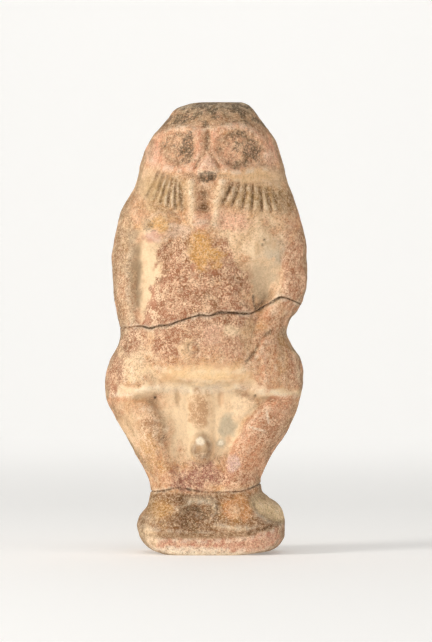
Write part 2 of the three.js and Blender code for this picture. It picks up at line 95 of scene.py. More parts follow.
def profile(*stations):
    """Smooth curve through (height, value) stations that never swings past them."""
    s = np.array(sorted(stations), float)
    at, value = s[:, 0], s[:, 1]
    gap = np.diff(at)
    rise = np.diff(value) / gap
    slope = np.zeros(len(at))
    slope[0], slope[-1] = rise[0], rise[-1]
    for i in range(1, len(at) - 1):
        if rise[i - 1] * rise[i] > 0:
            a = 2 * gap[i] + gap[i - 1]
            b = gap[i] + 2 * gap[i - 1]
            slope[i] = (a + b) / (a / rise[i - 1] + b / rise[i])

    def curve(z):
        q = np.clip(z, at[0], at[-1])
        i = np.clip(np.searchsorted(at, q, side="right") - 1, 0, len(gap) - 1)
        t = (q - at[i]) / gap[i]
        low = (2 * t**3 - 3 * t**2 + 1) * value[i] + (t**3 - 2 * t**2 + t) * gap[i] * slope[i]
        return low + (3 * t**2 - 2 * t**3) * value[i + 1] + (t**3 - t**2) * gap[i] * slope[i + 1]

    return curve


def merge(first, second, band):
    """Blend two heights of relief into one another over a band of the given thickness."""
    near = np.maximum(band - np.abs(first - second), 0) / band
    return np.maximum(first, second) + near * near * band / 4


KNEE = 0.93
KNEE_RISE = np.sqrt(1 - KNEE * KNEE)


def dome(q):
    """1 at the middle, rounding off to the rim at q = 1, then falling away steeply."""
    inside = np.sqrt(1 - np.minimum(q, KNEE) ** 2)
    return np.where(q < KNEE, inside, KNEE_RISE - (q - KNEE) * KNEE / KNEE_RISE)


def column(middle, half, crest, fall):
    """Round-backed upright limb: its middle, half width and crest, each as (height, value) stations."""
    m, h, c = profile(*middle), profile(*half), profile(*crest)
    return lambda x, z: c(z) - fall * (1 - dome(np.abs(x - m(z)) / h(z)))


def boss(cx, cz, rx, rz, crest, fall):
    """Oval dome round (cx, cz) that falls away to its rim."""
    return lambda x, z: crest - fall * (1 - dome(np.hypot((x - cx) / rx, (z - cz) / rz)))


def pad(x, z, cx, cz, rx, rz, h):
    """Soft oval swelling, h high."""
    q = ((x - cx) / rx) ** 2 + ((z - cz) / rz) ** 2
    return h * np.maximum(1 - q, 0) ** 2


def along_line(x, z, ax, az, bx, bz):
    """Distance from a line from a to b, and how far along it, 0 to 1."""
    dx, dz = bx - ax, bz - az
    t = np.clip(((x - ax) * dx + (z - az) * dz) / (dx * dx + dz * dz), 0, 1)
    return np.hypot(x - ax - dx * t, z - az - dz * t), t


def distance(x, z, points):
    d = np.full(np.shape(x), 99.0)
    for a, b in zip(points, points[1:]):
        d = np.minimum(d, along_line(x, z, *a, *b)[0])
    return d


def ridge(x, z, points, half, h):
    """Round line through the points, h high."""
    return h * np.exp(-((distance(x, z, points) / half) ** 2))


# Even noise from a fixed seed, the same every run.
LATTICE_CELLS = 64


def lattice(seed):
    return np.random.default_rng(seed).random((LATTICE_CELLS, LATTICE_CELLS, LATTICE_CELLS))


LATTICES = [lattice(seed) for seed in (3, 7, 11)]


def noise(x, y, z, size, seed=0):
    """Smooth value noise between -1 and 1, one lump for each size."""
    grid = LATTICES[seed % 3]
    shift = 17.3 * seed
    place = [np.asarray(a) / size + shift for a in (x, y, z)]
    cell = [np.floor(a).astype(int) for a in place]
    t = [ease(a - c) for a, c in zip(place, cell)]
    total = 0
    for i in (0, 1):
        for j in (0, 1):
            for k in (0, 1):
                weight = (t[0] if i else 1 - t[0]) * (t[1] if j else 1 - t[1]) * (t[2] if k else 1 - t[2])
                corner = [(c + step) % LATTICE_CELLS for c, step in zip(cell, (i, j, k))]
                total = total + weight * grid[corner[0], corner[1], corner[2]]
    return 2 * total - 1


def clouds(x, y, z, size, seed=0, octaves=3):
    """Noise with ever finer lumps laid over it."""
    out = 0
    weight = 1.0
    for k in range(octaves):
        out = out + weight * noise(x, y, z, size / 2**k, seed + k)
        weight *= 0.55
    return out


# Outline of the figure and plinth as seen from the front.
left_edge = profile(
    (0, -15), (0.7, -17.4), (2.7, -20.2), (5.7, -22.2), (9, -23), (11.5, -22.4), (16, -19.4),
    (20.7, -18.4), (24, -19), (29.3, -21.7), (37.3, -26), (45.3, -30.4), (50.7, -33.1), (54.5, -33.7),
    (59, -33.3), (64, -32), (69.3, -29.2), (72.5, -28.6), (80, -29.7), (88, -31), (97, -31.4),
    (104, -30.5), (112.7, -28.6), (122.7, -23.4), (130.7, -21.4), (136, -19.3), (139, -17.6),
    (142, -14.8), (144.7, -12.4), (146.7, -11), (148, -9.6), (149, -6.9), (149.7, -4.2), (150, -1),
)
right_edge = profile(
    (0, 15), (1, 22), (2.7, 24.6), (5.7, 26.2), (9.3, 26.3), (13.3, 25.7), (16, 24.1), (18.3, 20.7),
    (20.7, 18.6), (24, 18.2), (26.7, 19), (32, 21.7), (40, 27), (45.3, 29.5), (50.7, 31.3), (55, 32.3),
    (59.3, 32.5), (64, 31.6), (69.3, 28.6), (73.3, 27), (77.3, 28), (80, 30.3), (84, 32.4),
    (88, 33.4), (94, 33.7), (101.3, 33.5), (112, 31.2), (122.7, 27.6), (128.7, 25.9), (133.3, 24.6),
    (137.3, 23.2), (140.7, 20.9), (143.3, 18.9), (146.7, 16.5), (148, 15.4), (149, 14.3),
    (149.7, 12.8), (150, 11.7),
)

# How square the body is in plan, and how it draws in at the underside.
squareness = profile(
    (0, 7), (8, 6), (18, 4.2), (30, 3.4), (50, 3.8), (80, 4), (110, 3.6), (125, 3), (150, 2.4),
)
underside = profile((0, 0.93), (0.9, 0.98), (2.6, 1), (150, 1))

# The front: the ground between the limbs, then every limb and boss that stands on it.
ground = profile(
    (0, 18), (6, 18), (9, 16.4), (14, 13.4), (21, 11), (28, 10.4), (38, 10.2), (46, 10.6), (53, 11.6),
    (58, 13.6), (66, 14.2), (76, 12.6), (84, 10.6), (94, 10.8), (102, 12), (108, 13.2), (124, 13),
    (150, 10),
)
torso = column(
    [(50, 1.5), (57, 1), (68, -1.7), (76, -2.2), (87, -2.2), (102, -1.6), (114, -0.6)],
    [(50, 21), (57, 20.5), (66, 18.6), (76, 18), (87, 15.2), (96, 12.4), (102, 11), (114, 10)],
    [(46, 6), (52, 11), (55, 14.4), (57.5, 17.6), (61, 19.6), (67, 20.2), (75, 19.2), (85, 17.3),
     (95, 16.2), (105, 15.8), (112, 14.6), (118, 7)],
    5.2,
)
torso_slope = column(
    [(70, -2.2), (87, -2), (102, -1.4), (114, -0.6)],
    [(70, 22), (76, 21.8), (87, 19.6), (96, 17.4), (102, 16), (114, 15)],
    [(64, 8), (70, 13.2), (76, 15), (85, 14.4), (95, 13.6), (104, 13.6), (112, 12.4), (118, 7)],
    4.6,
)
left_arm = column(
    [(50, -23.4), (64, -23.8), (72, -25.4), (80, -27.6), (90, -28.8), (100, -28.4), (108, -26),
     (116, -22.8)],
    [(50, 5.8), (64, 6), (74, 5.8), (90, 5.8), (100, 6.2), (108, 7.2), (116, 8.4)],
    [(46, 5), (50, 11.4), (54, 14.8), (58, 16.6), (64, 16.9), (71, 16.2), (80, 14.4), (90, 13.8),
     (100, 13.8), (110, 14.4), (117, 13), (123, 7)],
    4.4,
)
right_arm = column(
    [(78, 29), (88, 30), (98, 30.4), (106, 28.6), (112, 26.4), (120, 23.4)],
    [(78, 4.2), (88, 5.2), (98, 5.4), (106, 6.6), (112, 8), (120, 9.2)],
    [(73, 5), (77, 11), (82, 13.6), (88, 14.4), (97, 14), (106, 14.2), (112, 14.4), (118, 13), (124, 7)],
    4.2,
)
right_forearm = column(
    [(50, 21.4), (60, 20.8), (67, 19.6), (72, 20), (77, 22), (81, 24.6), (85, 27.2), (90, 29)],
    [(50, 6.6), (60, 6.2), (67, 5.4), (73, 5), (81, 5.8), (90, 5.4)],
    [(46, 5), (50, 11.4), (54, 15.2), (58, 17.3), (66, 17.6), (74, 17), (81, 15.8), (85, 14.8),
     (89, 12), (92, 8)],
    3.8,
)
left_leg = column(
    [(16, -13), (22, -13.2), (30.7, -16.9), (37.3, -20), (42.3, -21.4), (46.7, -23.2), (51.3, -26),
     (58, -28)],
    [(16, 5.8), (22, 5.4), (30.7, 5.8), (37.3, 6.4), (42.3, 8.2), (46.7, 8.8), (51.3, 8.2), (58, 8)],
    [(10, 8), (16, 12.6), (21, 12.8), (28, 13.6), (35, 15.2), (41, 16.3), (47, 15.9), (52, 14.4),
     (58, 12.2), (63, 6)],
    3.8,
)
right_leg = column(
    [(16, 11.6), (22.3, 11.8), (30.7, 14.4), (35.7, 16.6), (40.7, 19.4), (44.7, 22), (50.7, 26.2),
     (58, 27.8)],
    [(16, 6.8), (22.3, 6.5), (30.7, 6.5), (35.7, 7), (40.7, 7.3), (44.7, 7.4), (50.7, 6.8), (58, 7)],
    [(10, 8), (16, 12.8), (21, 13), (28, 13.8), (35, 15.4), (41, 16.3), (47, 15.9), (52, 14.4),
     (58, 12.4), (63, 6)],
    3.8,
)
tail = column(
    [(26, -1.2), (35, -1.3), (44, -1.7), (58, -2)],
    [(26, 3), (35, 3.6), (44, 3.6), (58, 4)],
    [(28, 7), (33, 10.2), (38, 11.4), (46, 11.8), (52, 12.6), (58, 12)],
    2.2,
)
left_foot = column(
    [(4, -14.6), (10, -14.2), (15, -13.7), (24, -13.2)],
    [(4, 7.4), (10, 6.8), (15, 6.4), (24, 5.4)],
    [(4, 19.4), (8, 18.4), (11, 17.4), (15, 15.6), (19, 13.4), (23, 12), (27, 7)],
    2.8,
)
right_foot = column(
    [(4, 12.8), (10, 12.2), (15, 11.8), (24, 11.4)],
    [(4, 9), (10, 8.2), (15, 7.6), (24, 6.4)],
    [(4, 19.4), (8, 18.6), (11, 17.6), (15, 15.8), (19, 13.6), (23, 12.2), (27, 7)],
    2.8,
)
left_hip = boss(-30.5, 59, 8, 9.5, 12.6, 4)
right_hip = boss(29.5, 60, 7.5, 9.5, 13.4, 4)
left_breast = boss(-15, 108, 6.2, 5.6, 16.3, 3.2)
right_breast = boss(13.6, 105.6, 9.4, 9.4, 15.9, 3.4)
mask = boss(2.2, 129, 27.5, 26, 16.6, 10.5)
muzzle = boss(0.8, 124.5, 12, 9.5, 17.8, 4.6)
nose = column(
    [(122, 0.6), (128, 0.6), (136, 0.8)],
    [(122, 3.6), (127, 3.5), (131, 2.4), (136, 1.4)],
    [(119, 9), (122, 15), (123.6, 18), (125.6, 19.6), (128, 19.4), (132, 17.8), (136, 16.4), (139, 14),
     (142, 8)],
    1.9,
)
tail_bulb = boss(-1.3, 35.2, 3.7, 4.9, 13.2, 2.4)


def fan(count, top0, top1, bottom0, bottom1, sag):
    """Grooves of the mane from the top edge of a panel to its bottom edge."""
    out = []
    for i in range(count):
        f = i / (count - 1)
        drop = sag * 4 * f * (1 - f)
        out.append((lerp(top0[0], top1[0], f), lerp(top0[1], top1[1], f),
                    lerp(bottom0[0], bottom1[0], f), lerp(bottom0[1], bottom1[1], f) - drop))
    return out


LEFT_FAN = fan(6, (-15.3, 126.2), (-8.4, 122.4), (-19.3, 118.8), (-7.6, 113.8), 0.8)
RIGHT_FAN = fan(8, (8.6, 122.4), (24.5, 119.8), (5.6, 116.2), (28, 114.2), 1.5)


def mane_grooves(x, z):
    deepest = np.zeros(np.shape(x))
    x = x + 0.35 * noise(x, 0 * x, z, 2.4, 5)
    for line in LEFT_FAN + RIGHT_FAN:
        d, t = along_line(x, z, *line)
        depth = STROKE_DEPTH * (0.6 + 0.4 * np.sin(np.pi * t)) * (0.85 + 0.5 * noise(x, 0 * x, z, 2.6, 2))
        deepest = np.maximum(deepest, depth * np.exp(-((d / STROKE_HALF) ** 2)))
    return deepest


def panel(x, z, cx, cz, rx, rz):
    """1 over a plate with square shoulders, 0 outside it."""
    return np.exp(-(((x - cx) / rx) ** 4) - ((z - cz) / rz) ** 4)


def ledge_rise(x):
    """How much higher the plinth's ledge runs toward its right end."""
    return 4.2 * np.clip((x - 4) / 22, 0, 1) ** 2


def socket(x, z, cx, cz, rx, rz):
    """Eye socket with its rim and the ball inside."""
    q = np.hypot((x - cx) / rx, (z - cz) / rz)
    hollow = -1.2 * np.maximum(1 - q * q, 0)
    rim = 0.8 * np.exp(-(((q - 1.16) * rx / 1.7) ** 2))
    return hollow + rim + pad(x, z, cx - 0.4, cz + 0.2, rx * 0.9, rz * 0.86, 1.2)


LEFT_STRAND = [(-5.1, 122.2), (-4.8, 116), (-4.3, 109.4)]
RIGHT_STRAND = [(5.2, 121.8), (3.5, 116), (2.9, 109)]
FINGERS = [
    (-26, 62, -25.4, 56), (-22.6, 62, -22.4, 56),
    (17.6, 64, 18.2, 56.5), (21, 65, 21.8, 56.5), (24.2, 63, 25, 57),
]
BROWS = [
    (-18, 137), (-14, 140.2), (-8.4, 141.2), (-2, 139.6), (1.3, 139.4), (6.4, 141.6), (13, 141.6),
    (18.6, 137.6), (22, 134),
]
CHIP_LINE = (17.6, 17, 24.2, 12.8)


def front_relief(x, z):
    """How far the front stands out at each place."""
    y = ground(z)
    y = merge(y, torso_slope(x, z), 3)
    y = merge(y, torso(x, z - 2.4 * ((x - 2) / 20) ** 2 * ease((66 - z) / 8)), 2.4)
    y = merge(y, left_breast(x, z), 2.4)
    y = merge(y, right_breast(x, z), 3)
    y = merge(y, left_arm(x, z), 3.2)
    y = merge(y, right_arm(x, z), 3)
    y = merge(y, right_forearm(x, z), 2.6)
    y = merge(y, left_hip(x, z), 1.4)
    y = merge(y, right_hip(x, z), 1.4)
    y = merge(y, left_leg(x, z), 1.8)
    y = merge(y, right_leg(x, z), 1.8)
    y = merge(y, tail(x, z), 2.8)
    y = merge(y, tail_bulb(x, z), 1)
    y = merge(y, left_foot(x, z), 2)
    y = merge(y, right_foot(x, z), 2)
    y = merge(y, 20 - 12 * ease((z - ledge_rise(x) - 5.4) / 3.4), 0.9)
    y = merge(y, mask(x, z), 2.6)
    y = merge(y, muzzle(x, z), 2.6)
    # Recesses beside the torso, and the hollow inside the left knee.
    y -= pad(x, z, 18, 86, 6, 9, 1.9) + pad(x, z, -22.3, 89, 4.5, 17, 1.7)
    y -= ridge(x, z, [(-22, 51.8), (-17, 49.6), (-14.3, 44.6), (-14.6, 38.4)], 1.7, 1.3)
    # Crease and ridge where the hips meet the legs.
    y += ridge(x, z, [(-33, 52.4), (-24, 53.1), (-16, 55)], 1.4, 1.1)
    y += ridge(x, z, [(10, 55.2), (18, 53.6), (31, 52)], 1.4, 1.1)
    y -= ridge(x, z, [(-10, 54.6), (-9.6, 50.4)], 0.9, 0.25)
    y -= ridge(x, z, [(4.4, 53), (4.6, 49)], 0.9, 0.25)
    y -= ridge(x, z, [(16, 51.4), (22, 51)], 1, 0.6)
    # Hands.
    for ax, az, bx, bz in FINGERS:
        y -= ridge(x, z, [(ax, az), (bx, bz)], 1, 0.4)
    y -= ridge(x, z, [(21.9, 73.8), (18.2, 71.2), (16.2, 67), (13.4, 64)], 0.9, 0.6)
    # Face.
    y += ridge(x, z, BROWS, 1.7, 0.9)
    y += socket(x, z, -8.9, 134.2, 5.9, 6.1)
    y += socket(x, z, 11, 133.7, 7.7, 6.6)
    y = merge(y, nose(x, z), 1.4)
    y -= ridge(x, z, [(0.7, 139.2), (0.5, 133.8)], 1.1, 1.1)
    y -= ridge(x, z, [(-0.6, 132), (-3.4, 127.4)], 0.9, 0.5)
    y -= ridge(x, z, [(1.8, 132), (4.6, 127.4)], 0.9, 0.5)
    y -= pad(x, z, -1.3, 124, 1.9, 1.7, 0.8) + pad(x, z, 2.1, 124.2, 1.9, 1.7, 0.8)
    y += ridge(x, z, [(-4, 126.9), (-9, 126.5), (-14.5, 127.8), (-18.4, 130)], 1.6, 0.8)
    y += ridge(x, z, [(4.6, 126.4), (9.6, 125.6), (16.4, 126), (21, 127.8)], 1.6, 0.8)
    y += pad(x, z, -17.8, 132.4, 3.4, 4.8, 1.8) + pad(x, z, 21.8, 132.2, 3.8, 4.6, 1.9)
    y -= ridge(x, z, [(18.6, 128.6), (23, 128)], 0.9, 0.6)
    y += ridge(x, z, [(-4.8, 123.4), (-9.4, 124.6), (-14, 126.6)], 1.2, 0.5)
    y += ridge(x, z, [(4.8, 123.4), (11.4, 123.6), (18.6, 123.8), (24.4, 121.4)], 1.3, 0.7)
    # Mane panels, with the grooves between their locks.
    y += 0.9 * panel(x, z, -12.8, 119.6, 7.6, 6)
    y += 0.9 * panel(x, z, 16.4, 117.6, 11.4, 4.8)
    y -= mane_grooves(x, z)
    # Strands beside the chin, the tongue hollow, the beard's knob.
    y += ridge(x, z, LEFT_STRAND, 1.6, 1) + ridge(x, z, RIGHT_STRAND, 1.7, 0.9)
    y -= ridge(x, z, [(-0.5, 118.6), (-0.6, 114.4)], 2, 1.6)
    y += pad(x, z, -1.3, 110, 4.3, 4.6, 1.7)
    # Navel: a ring pressed into the belly.
    y -= 0.5 * np.exp(-(((np.hypot(x + 4, z - 68.3) - 1.7) / 0.75) ** 2))
    # Plinth: the ledge between the feet, the line along its front, the chip at its shoulder.
    ledge = [(-8.6, 15.2), (-5.2, 17.2), (-1, 17.6), (2.6, 16.2), (2.8, 13.4), (0.8, 11.8)]
    y += ridge(x, z, ledge, 1.5, 1.4)
    y -= ridge(x, z, [(-7.2, 15), (-3.4, 15.2), (-0.8, 13.4), (0.8, 12)], 0.8, 1)
    line = [(-18, 6.8), (-8, 6.2), (0, 5.8), (13, 6.8), (19.4, 8.2), (26, 10)]
    y -= ridge(x, z, line, 0.9, 0.7)
    y += ridge(x, z, [(3, 10.2), (8, 9.4), (13, 9)], 1.1, 0.5)
    y += pad(x, z, 9.6, 15, 4.6, 4, 0.8) - pad(x, z, -3, 9.8, 5.4, 3.2, 0.7)
    y -= 1.7 * np.exp(-((along_line(x, z, *CHIP_LINE)[0] / 2.8) ** 6))
    return y


back_ground = profile(
    (0, 15.4), (3, 16.2), (9, 16.2), (14, 14.2), (21, 10.8), (30, 12), (40, 13.2), (47, 15.2),
    (54, 16.8), (61, 16.2), (70, 14), (79, 13.4), (92, 14.8), (106, 16), (114, 15.6), (128, 16),
    (138, 15), (150, 12.4),
)


def back_relief(x, z):
    """The back: buttocks, parting of the legs, spine and shoulders."""
    y = back_ground(z)
    y = y + pad(x, z, -12, 54.5, 12, 11, 1.4) + pad(x, z, 12, 54.5, 12, 11, 1.4)
    y -= ridge(x, z, [(0, 48), (0, 58)], 2.6, 1)
    y -= ridge(x, z, [(0, 26), (0.4, 42)], 4.2, 2.4)
    y -= ridge(x, z, [(0, 68), (0.3, 98)], 4.8, 0.8)
    y += pad(x, z, -14, 98, 9, 12, 0.7) + pad(x, z, 14, 98, 9, 12, 0.7)
    y += 0.7 * ease((z - 103 - 0.014 * x * x) / 4)
    return y


# Old breaks: rows of the mesh bend to follow them.
waist_break = profile(
    (-33, 74.6), (-29.3, 74.7), (-22, 75.3), (-18.7, 74.6), (-15.2, 75.4), (-12.2, 75.6), (-8.7, 76.8),
    (-5, 78), (-1.6, 78.9), (1.2, 78.7), (4.5, 79.8), (13.7, 79.4), (15.7, 80.2), (19, 82.8),
    (22.6, 84.8), (26, 83.9), (30, 82.4), (33, 82),
)
ankle_break = profile(
    (-18, 20.3), (-14, 20.9), (-9.6, 21.8), (-5, 21.2), (-1, 20.5), (2.5, 20.3), (7, 20.5),
    (11.6, 20.8), (14.5, 21.5), (16.5, 22.2), (19, 23.1),
)
WAIST_ROW = 79
ANKLE_ROW = 21
WAIST_REACH = 15              # how far from a break the rows still bend
ANKLE_REACH = 8
BREAK_ENDS = 33               # the waist break behind runs straight between these sides
BREAK_LEFT = 74.7
BREAK_RIGHT = 82.2


def bend(x, row, behind):
    """Height of a row at x, led along the breaks."""
    straight = lerp(BREAK_LEFT, BREAK_RIGHT, (x + BREAK_ENDS) / (2 * BREAK_ENDS))
    waist = straight if behind else waist_break(x)
    at_waist = ease(1 - np.abs(row - WAIST_ROW) / WAIST_REACH)
    at_ankle = ease(1 - np.abs(row - ANKLE_ROW) / ANKLE_REACH)
    return row + at_waist * (waist - WAIST_ROW) + at_ankle * (ankle_break(x) - ANKLE_ROW)


def rounded(x, z, y):
    """Relief turned away to nothing at the sides, over the crown and under the plinth."""
    left, right = left_edge(z), right_edge(z)
    s = np.clip(np.abs(2 * x - left - right) / np.maximum(right - left, 0.01), 0, 1)
    crown = np.sqrt(np.maximum(1 - np.clip((z - 130) / 20, 0, 1) ** 3.6, 0))
    return y * np.sqrt(np.maximum(1 - s ** squareness(z), 0)) * crown * underside(z)


# Rows from the underside up, with a few close together at each break.
rows = np.concatenate([
    [0, 0.3, 0.7, 1.1],
    np.arange(1.6, 149.3, ROW_STEP),
    [149.5, 149.7, 149.85, 149.94],
])
CLOSE_ROWS = np.array([-0.5, -0.3, -0.14, 0, 0.14, 0.3, 0.5])
CLEARED = 0.62
for break_row in (ANKLE_ROW, WAIST_ROW):
    rows = rows[np.abs(rows - break_row) > CLEARED]
    rows = np.concatenate([rows, break_row + CLOSE_ROWS])
rows = np.sort(rows)[:, None]


def surface(s, behind):
    """Points, and their place in the carving, for one run of columns over all the rows."""
    left, right = left_edge(rows), right_edge(rows)
    x = (left + right) / 2 + s * (right - left) / 2
    z = bend(x, rows, behind)
    left, right = left_edge(z), right_edge(z)
    x = (left + right) / 2 + s * (right - left) / 2
    relief = back_relief(x, z) if behind else front_relief(x, z)
    y = rounded(x, z, relief) * (1 if behind else -1)
    sink = BREAK_DEPTH * np.exp(-(((rows - WAIST_ROW) / BREAK_HALF) ** 2))
    sink = sink * lerp(0.45, 1, ease((x + 26) / 6))
    sink += ANKLE_BREAK_DEPTH * np.exp(-(((rows - ANKLE_ROW) / BREAK_HALF) ** 2))
    nx, ny = s**3 / (right - left), (y / 15) ** 3 / 30
    length = np.hypot(nx, ny) + 1e-9
    return x - nx / length * sink, y - ny / length * sink, z, x, relief


def spread(count):
    """Even columns over the middle, then ever closer ones to each edge."""
    turn = 1 - (1 - SIDE_STARTS) * (1 - np.arange(1, SIDE_COLUMNS + 1) / SIDE_COLUMNS) ** 2
    return np.concatenate([-turn[::-1], np.linspace(-SIDE_STARTS, SIDE_STARTS, count), turn])


front = surface(spread(FRONT_COLUMNS), False)
back = surface(spread(BACK_COLUMNS)[1:-1], True)
X = np.hstack([front[0], back[0][:, ::-1]])
Y = np.hstack([front[1], back[1][:, ::-1]])
Z = np.hstack([front[2], back[2][:, ::-1]])
AT_X = np.hstack([front[3], back[3][:, ::-1]])
BEHIND = np.hstack([np.zeros(front[0].shape), np.ones(back[0].shape)])
FRONT = 1 - BEHIND
COUNT = X.shape[1]


def normals(x, y, z):
    """Outward normal at each point of the wrapped grid."""
    p = np.dstack([x, y, z])
    across = np.roll(p, -1, axis=1) - np.roll(p, 1, axis=1)
    up = np.gradient(p, axis=0)
    n = np.cross(across, up)
    return n / np.maximum(np.linalg.norm(n, axis=2, keepdims=True), 1e-9)


N = normals(X, Y, Z)


def blurred(a, times):
    """Soften over the surface, wrapping round the body."""
    for _ in range(times):
        a = (a + np.roll(a, 1, 1) + np.roll(a, -1, 1)) / 3
        a = (a + np.vstack([a[:1], a[:-1]]) + np.vstack([a[1:], a[-1:]])) / 3
    return a


# How far each point stands out from its surroundings: below 0 in grooves, above 0 on ridges.
def standing(times):
    soft = np.dstack([blurred(c, times) for c in (X, Y, Z)])
    return ((np.dstack([X, Y, Z]) - soft) * N).sum(2)


FINE = standing(4)
BROAD = standing(30)

def blob(cx, cz, rx, rz, rough=0.5, size=3.0, seed=2, soft=0.35):
    """Patch of the front with a broken edge, 1 inside and 0 outside."""
    q = np.hypot((AT_X - cx) / rx, (Z - cz) / rz) + rough * clouds(AT_X, Y, Z, size, seed)
    return ease((1 + soft - q) / (2 * soft)) * FRONT


def streak(line, half):
    """Soft line on the front, 1 along its middle."""
    return ridge(AT_X, Z, line, half, 1) * FRONT


# Worn, gritty skin of the clay, roughest on the crown, in the eyes and over the feet.
EYES = np.maximum(blob(-8.9, 134.2, 5.6, 5.8, 0.3), blob(11.7, 133.9, 7, 6.4, 0.3))
CROWN = ease((Z - 140.5 + 1.5 * clouds(X, Y, Z, 4, 3)) / 3)
NOSTRILS = blob(0.4, 124.4, 3.4, 2, 0.3, 1.5)
HOLLOW_FOOT = blob(-3.5, 12.5, 6, 4.5, 0.5)
FEET = blob(0, 14, 26, 7, 0.3)
rough_zone = np.maximum.reduce([EYES, 0.6 * CROWN, NOSTRILS, HOLLOW_FOOT, 0.35 * FEET])
pitted = clouds(X, Y, Z, 1.5, 4, 2)
skin = 0.16 * clouds(X, Y, Z, 5, 1) + (0.06 + 0.2 * rough_zone) * pitted
skin *= ease((Z - 0.4) / 2) * ease((149.6 - Z) / 4)

# Pinholes: x, z, width, depth. Then the chip at the right elbow and the short crack beside the break.
PITS = [
    (-16.8, 51.7, 0.42, 0.5), (16.3, 52.3, 0.38, 0.4), (-14.1, 38.9, 0.36, 0.35),
    (19.3, 103.8, 0.36, 0.4), (18.7, 102.2, 0.36, 0.4),
]
CRACK_DEPTH = 0.3
sunk = np.zeros(X.shape)
for pit_x, pit_z, width, depth in PITS:
    sunk += depth * np.exp(-(((AT_X - pit_x) / width) ** 2 + ((Z - pit_z) / width) ** 2)) * FRONT
chip = 0.6 * streak([(29.4, 81), (29.8, 79)], 1.1)
crack = CRACK_DEPTH * streak([(15.6, 85.4), (15.9, 83), (16.5, 80.8)], 0.3)
moved = skin - sunk - chip - crack
X = X + N[:, :, 0] * moved
Y = Y + N[:, :, 1] * moved
Z_SHAPED = Z + N[:, :, 2] * moved


def srgb(r, g, b):
    """Linear colour of a screen colour."""
    c = np.array([r, g, b]) / 255
    return np.where(c < 0.04045, c / 12.92, ((c + 0.055) / 1.055) ** 2.4)


CREAM = srgb(248, 218, 178)
PALE = srgb(254, 240, 214)
TAN = srgb(206, 166, 124)
CLAY = srgb(204, 150, 108)
SALMON = srgb(216, 158, 126)
PURPLE = srgb(160, 100, 72)
RED = srgb(202, 132, 92)
OCHRE = srgb(214, 156, 80)
BROWN = srgb(134, 90, 52)
SOOT = srgb(84, 72, 56)
OLIVE = srgb(150, 124, 86)
GREY = srgb(188, 174, 148)
LILAC = srgb(222, 196, 190)
BARE = srgb(243, 206, 172)
ROSE = srgb(230, 152, 120)
ROSE_PALE = srgb(238, 190, 160)
ROSE_CREAM = srgb(228, 172, 142)
DUSKY_PINK = srgb(200, 138, 120)
PLUM = srgb(160, 104, 90)
GOLDEN = srgb(255, 218, 166)
ORANGE = srgb(196, 128, 72)
BAND_RED = srgb(190, 126, 104)
CHIP_CREAM = srgb(226, 198, 154)
LOCKS = srgb(172, 136, 80)
LOCKS_BROWN = srgb(150, 112, 66)
GROOVES = srgb(88, 66, 38)

# Two coats: the bare slip, and what lies over it where the paint has not flaked off.
# One amount says how thickly the dark specks lie: grime, and painted shade where they thicken at the
# outline; gritty says how freely the brown and cream ones do.
coats = {"slip": np.zeros((*X.shape, 3)) + CLAY, "paint": np.zeros((*X.shape, 3)) + CLAY}


def lay(mask, tint, strength=1.0, onto=("slip", "paint")):
    """Lay a tint over both coats where the mask is 1."""
    cover = np.clip(mask * strength, 0, 1)[:, :, None]
    for name in onto:
        coats[name] = coats[name] * (1 - cover) + tint * cover


def paint(mask, tint, strength=1.0):
    """Lay a tint on the paint coat, over slip that shows pale where it flakes."""
    lay(mask, tint, strength, ("paint",))
    lay(mask, BARE, 0.5 * strength, ("slip",))


mottle = clouds(X, Y, Z, 7, 5)
grain = clouds(X, Y, Z, 1.6, 8)
# The slip is smooth between the legs, in the recesses, on the folds of the hips and on the cheeks.
smooth_zone = np.maximum.reduce([
    blob(-2, 45, 15, 12, 0.3), 0.9 * blob(-1, 58.4, 19, 5.4, 0.3),
    blob(-19.5, 92, 5, 18, 0.3), 0.7 * blob(19, 94, 6, 12, 0.5),
    0.8 * blob(-25, 53, 10, 3, 0.3), 0.8 * blob(22, 53.4, 12, 2.6, 0.3),
    0.7 * blob(-2, 59, 19, 3.4, 0.3), 0.5 * blob(-24, 42, 7, 10, 0.4),
    0.6 * blob(-18, 123, 6, 6, 0.4), 0.6 * blob(18, 125, 9, 3, 0.4),
])
gritty = 1 - 0.8 * smooth_zone
dark_speck_cover = 0.25 * gritty


# Thicken the dark specks where the mask is 1: grime in most places, painted shade along the outline.
def thicken_dark_specks(mask, strength):
    dark_speck_cover[:] = np.maximum(dark_speck_cover, np.clip(mask * strength, 0, 1))


# Uneven clay under everything.
lay(ease(0.5 + 0.9 * mottle), SALMON, 0.4)
lay(ease(-0.1 + 1.2 * grain), CREAM, 0.5)
lay(ease(-0.2 + 1.4 * clouds(X, Y, Z, 3.6, 17)), OCHRE, 0.35)

# Cream slip on the bare ground between the limbs, on the arms and along the hips.
lay(blob(-18.6, 92, 4.6, 19, 0.2), 0.8 * CREAM + 0.2 * TAN, 1)
lay(blob(-28, 92, 6, 22, 0.4), 0.88 * TAN, 0.95)
lay(blob(-29.4, 92, 4.4, 21, 0.4), 0.62 * TAN, 0.6)
paint(blob(-29, 92, 5, 20, 0.7, 2.4), BROWN, 0.5)
